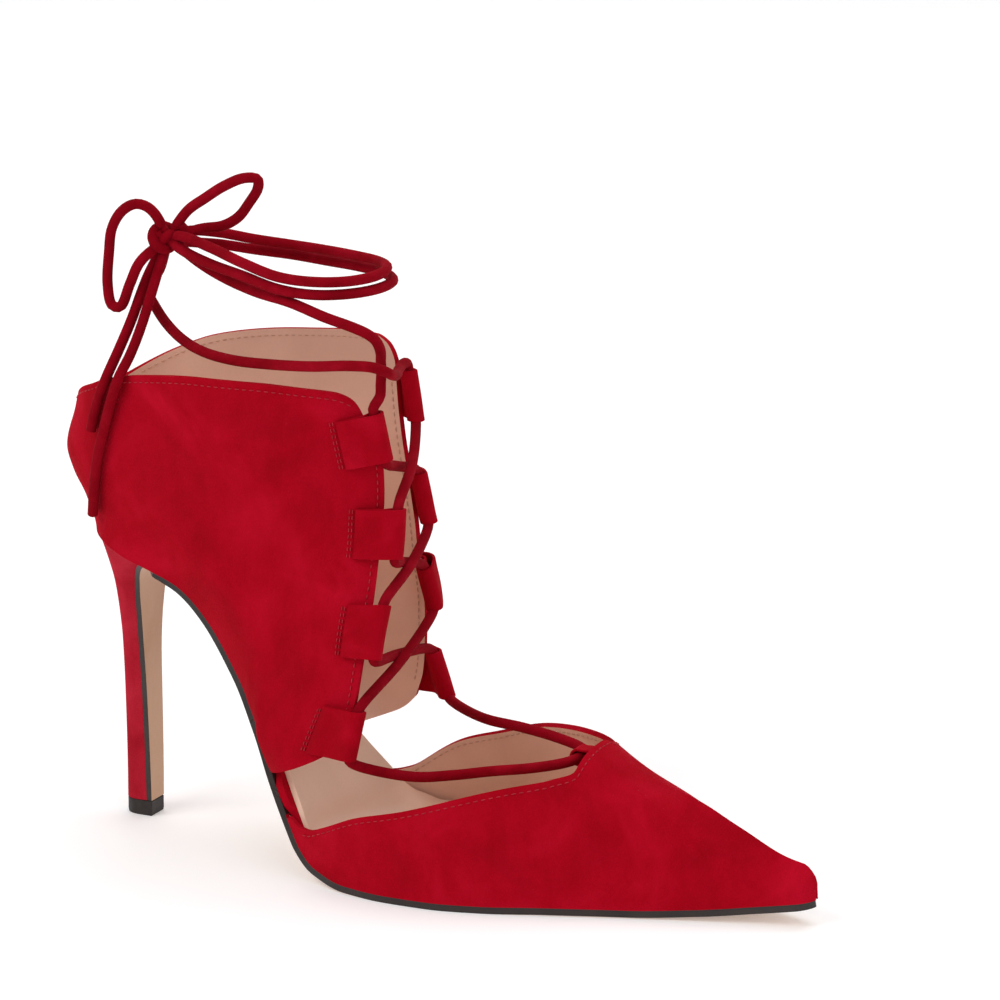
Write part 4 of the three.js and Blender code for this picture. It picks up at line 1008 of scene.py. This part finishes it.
def build_stitches(vamp, quarter):
    """Rows along the edges, with paler thread where they show on the lining, and one behind each loop."""
    outside, inside = [], []
    for grid, centre in ((vamp, VAMP_CENTRE), (quarter, QUARTER_CENTRE)):
        sign = 1 if facing_out(grid, centre) else -1
        line, ups = line_below_edge(grid, normals_of(grid), sign, EDGE_MARGIN)
        line, ups = line[5:-5], ups[5:-5]
        outside += row_of_stitches(line, ups, STITCH_PITCH, STITCH_LENGTH)
        inside += row_of_stitches(line - ups * (UPPER_WALL - 0.1), -ups, STITCH_PITCH, STITCH_LENGTH)
    for side in (-1, 1):
        z = np.linspace(0.3, 0.955, 200) * COLLAR_HEIGHT
        place = np.full(len(z), -EDGE_MARGIN)
        line = edge_place(side, 3, front_edge[side](z), place, np.zeros(len(z)), z)
        above = edge_place(side, 3, front_edge[side](z), place, np.ones(len(z)), z)
        outside += row_of_stitches(line, above - line, STITCH_PITCH, STITCH_LENGTH, 0.12)
        lining = line - (above - line) * (UPPER_WALL + 0.02)
        inside += row_of_stitches(lining, line - above, STITCH_PITCH, STITCH_LENGTH)
    stitch_mesh("stitches_outside", outside)
    stitch_mesh("stitches_inside", inside, "lining_thread", slot="lining")

    runs = []
    share = np.linspace(-0.53, 0.53, 60)
    for tab in TABS.values():
        for back in (1.5, 2.4):
            place = np.full(len(share), -tab["root"] - back)
            line = tab_place(tab, place, np.zeros(len(share)), share)
            above = tab_place(tab, place, np.ones(len(share)), share)
            runs += row_of_stitches(line, above - line, 1.9, 1.35, 0.15)
    stitch_mesh("stitches_loops", runs, radius=0.19)


# Lace

KNOT = (14.6, -4, 185.7)
LACE_MATERIAL = MATERIALS["lace"]


def lace_curve(name, points, spacing=1.2):
    """A round lace along points, as one open curve."""
    count = max(int(length_of(points) / spacing), 12)
    path = resample(points, count)
    data = bpy.data.curves.new(name, "CURVE")
    data.dimensions = "3D"
    data.bevel_depth = LACE / 2 * MM
    data.bevel_resolution = 4
    data.use_fill_caps = True
    line = data.splines.new("POLY")
    line.points.add(len(path) - 1)
    line.points.foreach_set("co", np.c_[path * MM, np.ones(len(path))].ravel())
    line.use_smooth = True
    data.materials.append(LACE_MATERIAL)
    made = bpy.data.objects.new(name, data)
    bpy.context.scene.collection.objects.link(made)
    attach(made, "root")
    return made, length_of(path)


THROAT = [
    (104.5, -17.5, 32.8), (115.5, -12.5, 33.5), (126, -9.5, 35.4), (138.5, -7, 37.6), (147.8, -5, 39.9),
    (150.7, -2.2, 40.7), (151.3, 1, 41.2), (150.7, 4, 41.7), (147.4, 6.3, 42.1), (138, 8, 43.2),
    (127, 10.5, 43.4), (112, 15, 42.6),
]


def through(name, upwards=True):
    """The lace's places inside one loop."""
    points = [channel_place(name, share) for share in (-0.34, 0, 0.34)]
    return points if upwards else points[::-1]


def leave(name, end, target, first=0.5, second=2.6):
    """Two places where the lace turns from a loop's mouth, at end -1 or 1, towards a target."""
    mouth = channel_place(name, 0.47 * end)
    toward = target - mouth
    toward /= np.linalg.norm(toward)
    straight = channel_place(name, 0.6 * end) - mouth
    return [mouth + toward * first, mouth + toward * second + straight * 0.5]


def build_lacing():
    """The lace from the highest inner loop, down through the throat and up to the highest outer loop."""
    bulge = LACE / 2 + 0.1

    def climb(names):
        points = []
        for low, high in zip(names, names[1:]):
            start, end = channel_place(low, 0.5), channel_place(high, -0.5)
            ahead = 1 if low.startswith("outer") else -1
            middle = (start + end) / 2 + np.array([bulge * ahead, 0, 0])
            points += [*leave(low, 1, middle), middle, *leave(high, -1, middle)[::-1]]
            points += through(high)
        return points

    near, far = np.array(THROAT[0], float), np.array(THROAT[-1], float)
    route = climb(["outer_4", "inner_3", "outer_2", "inner_1"])[::-1]
    route += through("outer_4", False) + leave("outer_4", -1, near)
    route += [np.array(place, float) for place in THROAT]
    route += leave("inner_4", -1, far)[::-1] + through("inner_4")
    route += climb(["inner_4", "outer_3", "inner_2", "outer_1"])
    made, _ = lace_curve("lacing", spline(route, 1400))
    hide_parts("lace_crossing_1", "lace_crossing_2", "lace_crossing_3", "lace_throat_run")


ROUTES = {
    "tie_outer": [
        (93, -15.6, 148.8), (92.5, -14.3, 152.1), (92.3, -13.5, 155), (92.7, -14.5, 158.8), (94.2, -17.5, 163),
        (94.3, -20.8, 167), (92.6, -22.8, 169.2), (88.3, -24, 171), (79.9, -24.5, 173), (66.7, -22, 175.5),
        (53, -18, 176.3), (38, -12, 178), (27, -7.5, 180.5), (19.5, -5, 183.5), KNOT,
    ],
    "tie_inner": [
        (81.9, 20.5, 149.2), (83.7, 14, 149.2), (89.1, 2, 150.7), (95.7, -12, 154.5), (98.2, -19, 156.8),
        (98.4, -22.2, 158.3), (95.6, -25.3, 160), (89.2, -27, 160.1), (76.1, -27.5, 158.5), (61.8, -26, 157.1),
        (48.2, -23, 156), (35, -18, 155.8), (24, -12, 157), (14.7, -6, 159.8), (8.5, -2, 163.5), (5.5, 0, 166.2),
        (6.7, -0.5, 170.8), (10.2, -1.5, 175.4), KNOT,
    ],
    "ankle_wrap_upper": [
        KNOT, (20.6, -7, 187.6), (34.7, -14, 187.2), (49.9, -20.5, 185.3), (63.2, -23, 183.1), (74, -22, 182.6),
        (82.7, -16.5, 182.5), (87.4, -8, 182.8), (86.6, 1, 183.2), (79, 9.5, 182.7), (69.5, 14, 182.3),
        (56.3, 18, 181.9), (43.4, 19.5, 181.9), (32.2, 17.5, 182.8), (23.1, 12, 185), (16.5, 5, 186.3), KNOT,
    ],
    "ankle_wrap_lower": [
        KNOT, (22.4, -9, 183.9), (35.2, -15, 182.4), (49.9, -20.5, 181.4), (63.1, -23, 179.4), (74, -22, 178.7),
        (82.7, -16.5, 178.7), (88.1, -8, 179), (88, 2, 179.2), (80, 11.5, 178.8), (67.8, 17.5, 178.2),
        (54.7, 21.5, 177.7), (41.7, 23, 177.9), (30.4, 21, 178.6), (21.6, 15, 180.6), (14.4, 6.5, 182.4), KNOT,
    ],
    "bow_loop_down": [
        KNOT, (13.2, -9, 194), (11.3, -11, 196.6), (8.4, -12.5, 197.3), (4.4, -13.5, 194.9), (1.1, -14, 189.4),
        (-0.1, -14, 181.9), (-1, -13.7, 171.8), (0.3, -13.6, 165.5), (3.2, -13.6, 165.3), (6.6, -13.2, 172.8),
        (9.6, -12, 179.6), KNOT,
    ],
    "bow_loop_up": [
        KNOT, (21.4, -4, 194.7), (28.3, -5, 199.6), (35.2, -5.5, 204.1), (41.8, -5, 207.1), (45.4, -3.5, 206.9),
        (44.8, -2, 203.8), (41.1, -1, 198.6), (36.7, 0, 193.6), (31.2, 0.3, 190.4), (24.5, -0.5, 189), KNOT,
    ],
    "tie_end_long": [
        KNOT, (13.4, -9, 175), (12.2, -16.5, 161), (12, -23, 153.5), (11.2, -28.6, 147.6), (8.6, -28.2, 141.4),
        (4.9, -27.2, 130.9), (2, -26.4, 121.9), (-0.7, -24.3, 112), (-3.5, -21.1, 101.3),
    ],
    "tie_end_short": [
        KNOT, (9.6, -7.5, 174.5), (7.4, -14.5, 161.5), (6.6, -21, 153.5), (6, -26.9, 146.9), (3, -26.2, 140.7),
        (0.8, -25.6, 135), (-0.9, -25.3, 129.1),
    ],
}
TIE_LOOPS = {"tie_outer": "outer_1", "tie_inner": "inner_1"}
KNOT_CLEAR = 5.5


def outside_knot(points):
    """The stretch of a strand that lies outside the knot."""
    far = np.linalg.norm(points - np.array(KNOT), axis=1) > KNOT_CLEAR
    inside = np.flatnonzero(far)
    return points[inside[0]: inside[-1] + 1]


def build_knot():
    """The bow's knot: one turn of lace round the middle, with the strands' ends buried in it."""
    centre = np.array(KNOT, float)
    t = np.linspace(0, 2 * math.pi, 41)[:-1]
    rings = []
    for tilt, wide, high, push in ((0.5, 3.4, 4.2, (-0.6, -1.4, 0.4)), (-0.7, 2.6, 3.4, (0.8, -0.2, -0.4))):
        u = np.array([math.cos(tilt), -0.3, math.sin(tilt)])
        u /= np.linalg.norm(u)
        w = np.array([0.25, 0.95, 0.1])
        w -= u * (w @ u)
        w /= np.linalg.norm(w)
        round_ring = np.outer(np.cos(t) * wide, np.cross(u, w)) + np.outer(np.sin(t) * high, w)
        rings.append((centre + np.array(push) + round_ring, True))
    for name, route in ROUTES.items():
        line = spline(route, 500)
        near = line[np.linalg.norm(line - centre, axis=1) < KNOT_CLEAR + 0.8]
        far = np.linalg.norm(near - centre, axis=1)
        cut = int(np.argmin(far))
        for part in (near[: cut + 1], near[cut:]):
            if len(part) > 6:
                rings.append((resample(part, 8), False))
    points, faces = [], []
    sides = 14
    for line, closed in rings:
        tangent = np.gradient(line, axis=0)
        if closed:
            tangent = np.roll(line, -1, axis=0) - np.roll(line, 1, axis=0)
        tangent /= np.linalg.norm(tangent, axis=1, keepdims=True)
        helper = np.cross(tangent, np.array([0.3, 0.5, 0.8]))
        helper /= np.linalg.norm(helper, axis=1, keepdims=True)
        other = np.cross(tangent, helper)
        base = len(points)
        angles = np.linspace(0, 2 * math.pi, sides, endpoint=False)
        radius = LACE / 2 * (1.06 if closed else 0.98)
        for centre_point, a, b in zip(line, helper, other):
            points += [centre_point + radius * (a * math.cos(k) + b * math.sin(k)) for k in angles]
        faces += grid_faces(len(line), sides, closed=True, start=base)
        if closed:
            last = base + (len(line) - 1) * sides
            for j in range(sides):
                k = (j + 1) % sides
                faces.append((last + j, last + k, base + k, base + j))
    return make_mesh("bow_knot", points, faces, ["lace"], slot="lace", replaces=["knot"])


def build_ties():
    knot = build_knot()
    for name, route in ROUTES.items():
        if name in TIE_LOOPS:
            route = [channel_place(TIE_LOOPS[name], 0.42), channel_place(TIE_LOOPS[name], 0.59), *route]
        line = outside_knot(spline(route, 700))
        made, length = lace_curve(f"lace_{name}", line)
        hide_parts(name)


# Throat loop


def build_throat_loop():
    """The strap folded round the lace and sewn under the throat."""
    x, y, z = 151.3, 1, 41.2
    radius = LACE / 2 + 0.35 + 0.4
    arc = np.radians(np.linspace(75, 285, 15))
    roots = [TOE_TIP * 0.69, TOE_TIP * 0.725]
    high = [(at, float(vamp_surface(np.array(at), np.array(0.0), UPPER_WALL)[2]) - 0.3) for at in roots]
    line = [(high[1][0], 0, high[1][1]), (high[0][0], 0, high[0][1])]
    line += [(x + radius * math.cos(a), 0, z + radius * math.sin(a)) for a in arc]
    line += [(high[0][0], 0, high[0][1] - 1.9), (high[1][0], 0, high[1][1] - 1.6)]
    path = spline(line, 70)
    hands = np.linspace(-2.6, 2.6, 9)
    grid = np.stack([path + np.array([0, y + h, 0]) for h in hands])
    faces = grid_faces(len(hands), len(path))
    piece = make_mesh(
        "strap_throat", grid.reshape(-1, 3), faces, ["tab"], slot="suede",
        replaces=["throat_loop"], closed=False)
    solidify(piece, THROAT_STRAP, 0.25)


build_outsole()
build_heel()
build_bed()
vamp_outside = build_vamp()
quarter_shape = build_quarter()
for tab_name, tab_row in TABS.items():
    build_tab(tab_name, tab_row)
build_throat_loop()
build_stitches(vamp_outside, quarter_shape)
build_lacing()
build_ties()

# Floor and light


def build_stage():
    floor_shader = Shader("floor", 0.6, 0.2)
    cloud = floor_shader.noise(3, 2, 0.5)
    white = floor_shader.ramp(cloud, [(0.3, rgb(242, 242, 242)), (0.7, rgb(246, 246, 246))])
    MATERIALS["floor"] = floor_shader.finish(white)
    put(floor_shader.main, "Emission Color", (1, 1, 1, 1))
    put(floor_shader.main, "Emission Strength", 0.2)
    width, depth, wall, round_radius = 5.0, 1.6, 2.5, 0.8
    arc = np.radians(np.linspace(0, 90, 17))
    profile = [(-2.2, 0.0), (depth, 0.0)]
    profile += [(depth + round_radius * math.sin(a), round_radius * (1 - math.cos(a))) for a in arc[1:]]
    profile.append((depth + round_radius, wall))
    turn = AZIMUTH
    side = np.array([math.cos(turn), math.sin(turn), 0])
    away = np.array([-math.sin(turn), math.cos(turn), 0])
    points = []
    for hand in (-width, width):
        points += [(side * hand + away * d + np.array([0, 0, h])) / MM for d, h in profile]
    data = bpy.data.meshes.new("floor")
    data.from_pydata((np.array(points) * MM).tolist(), [], grid_faces(2, len(profile), flip=True))
    data.materials.append(MATERIALS["floor"])
    data.polygons.foreach_set("use_smooth", np.full(len(data.polygons), True))
    floor = bpy.data.objects.new("floor", data)
    bpy.context.scene.collection.objects.link(floor)


def area_light(name, place, aim, size, power, colour=(1, 1, 1)):
    data = bpy.data.lights.new(name, "AREA")
    data.shape = "RECTANGLE"
    data.size, data.size_y = size
    data.energy = power
    data.color = colour
    light = bpy.data.objects.new(name, data)
    bpy.context.scene.collection.objects.link(light)
    light.location = place
    light.rotation_mode = "QUATERNION"
    light.rotation_quaternion = (Vector(aim) - Vector(place)).to_track_quat("-Z", "Y")


build_stage()
area_light("key", (-0.9, -1.4, 1.7), (0.1, 0, 0.08), (1.4, 1.2), 20)
area_light("fill", (1.6, -0.9, 1.1), (0.1, 0, 0.08), (1.5, 1.5), 8.5)
area_light("top", (0.2, 0.5, 1.9), (0.1, 0, 0.05), (1.8, 1.4), 15)
world = bpy.data.worlds.new("studio")
bpy.context.scene.world = world
world.use_nodes = True
world.node_tree.nodes["Background"].inputs["Color"].default_value = (1, 1, 1, 1)
world.node_tree.nodes["Background"].inputs["Strength"].default_value = 0.42
scene = bpy.context.scene
scene.render.engine = "CYCLES"
scene.view_settings.view_transform = "Standard"
scene.view_settings.exposure = 0.0
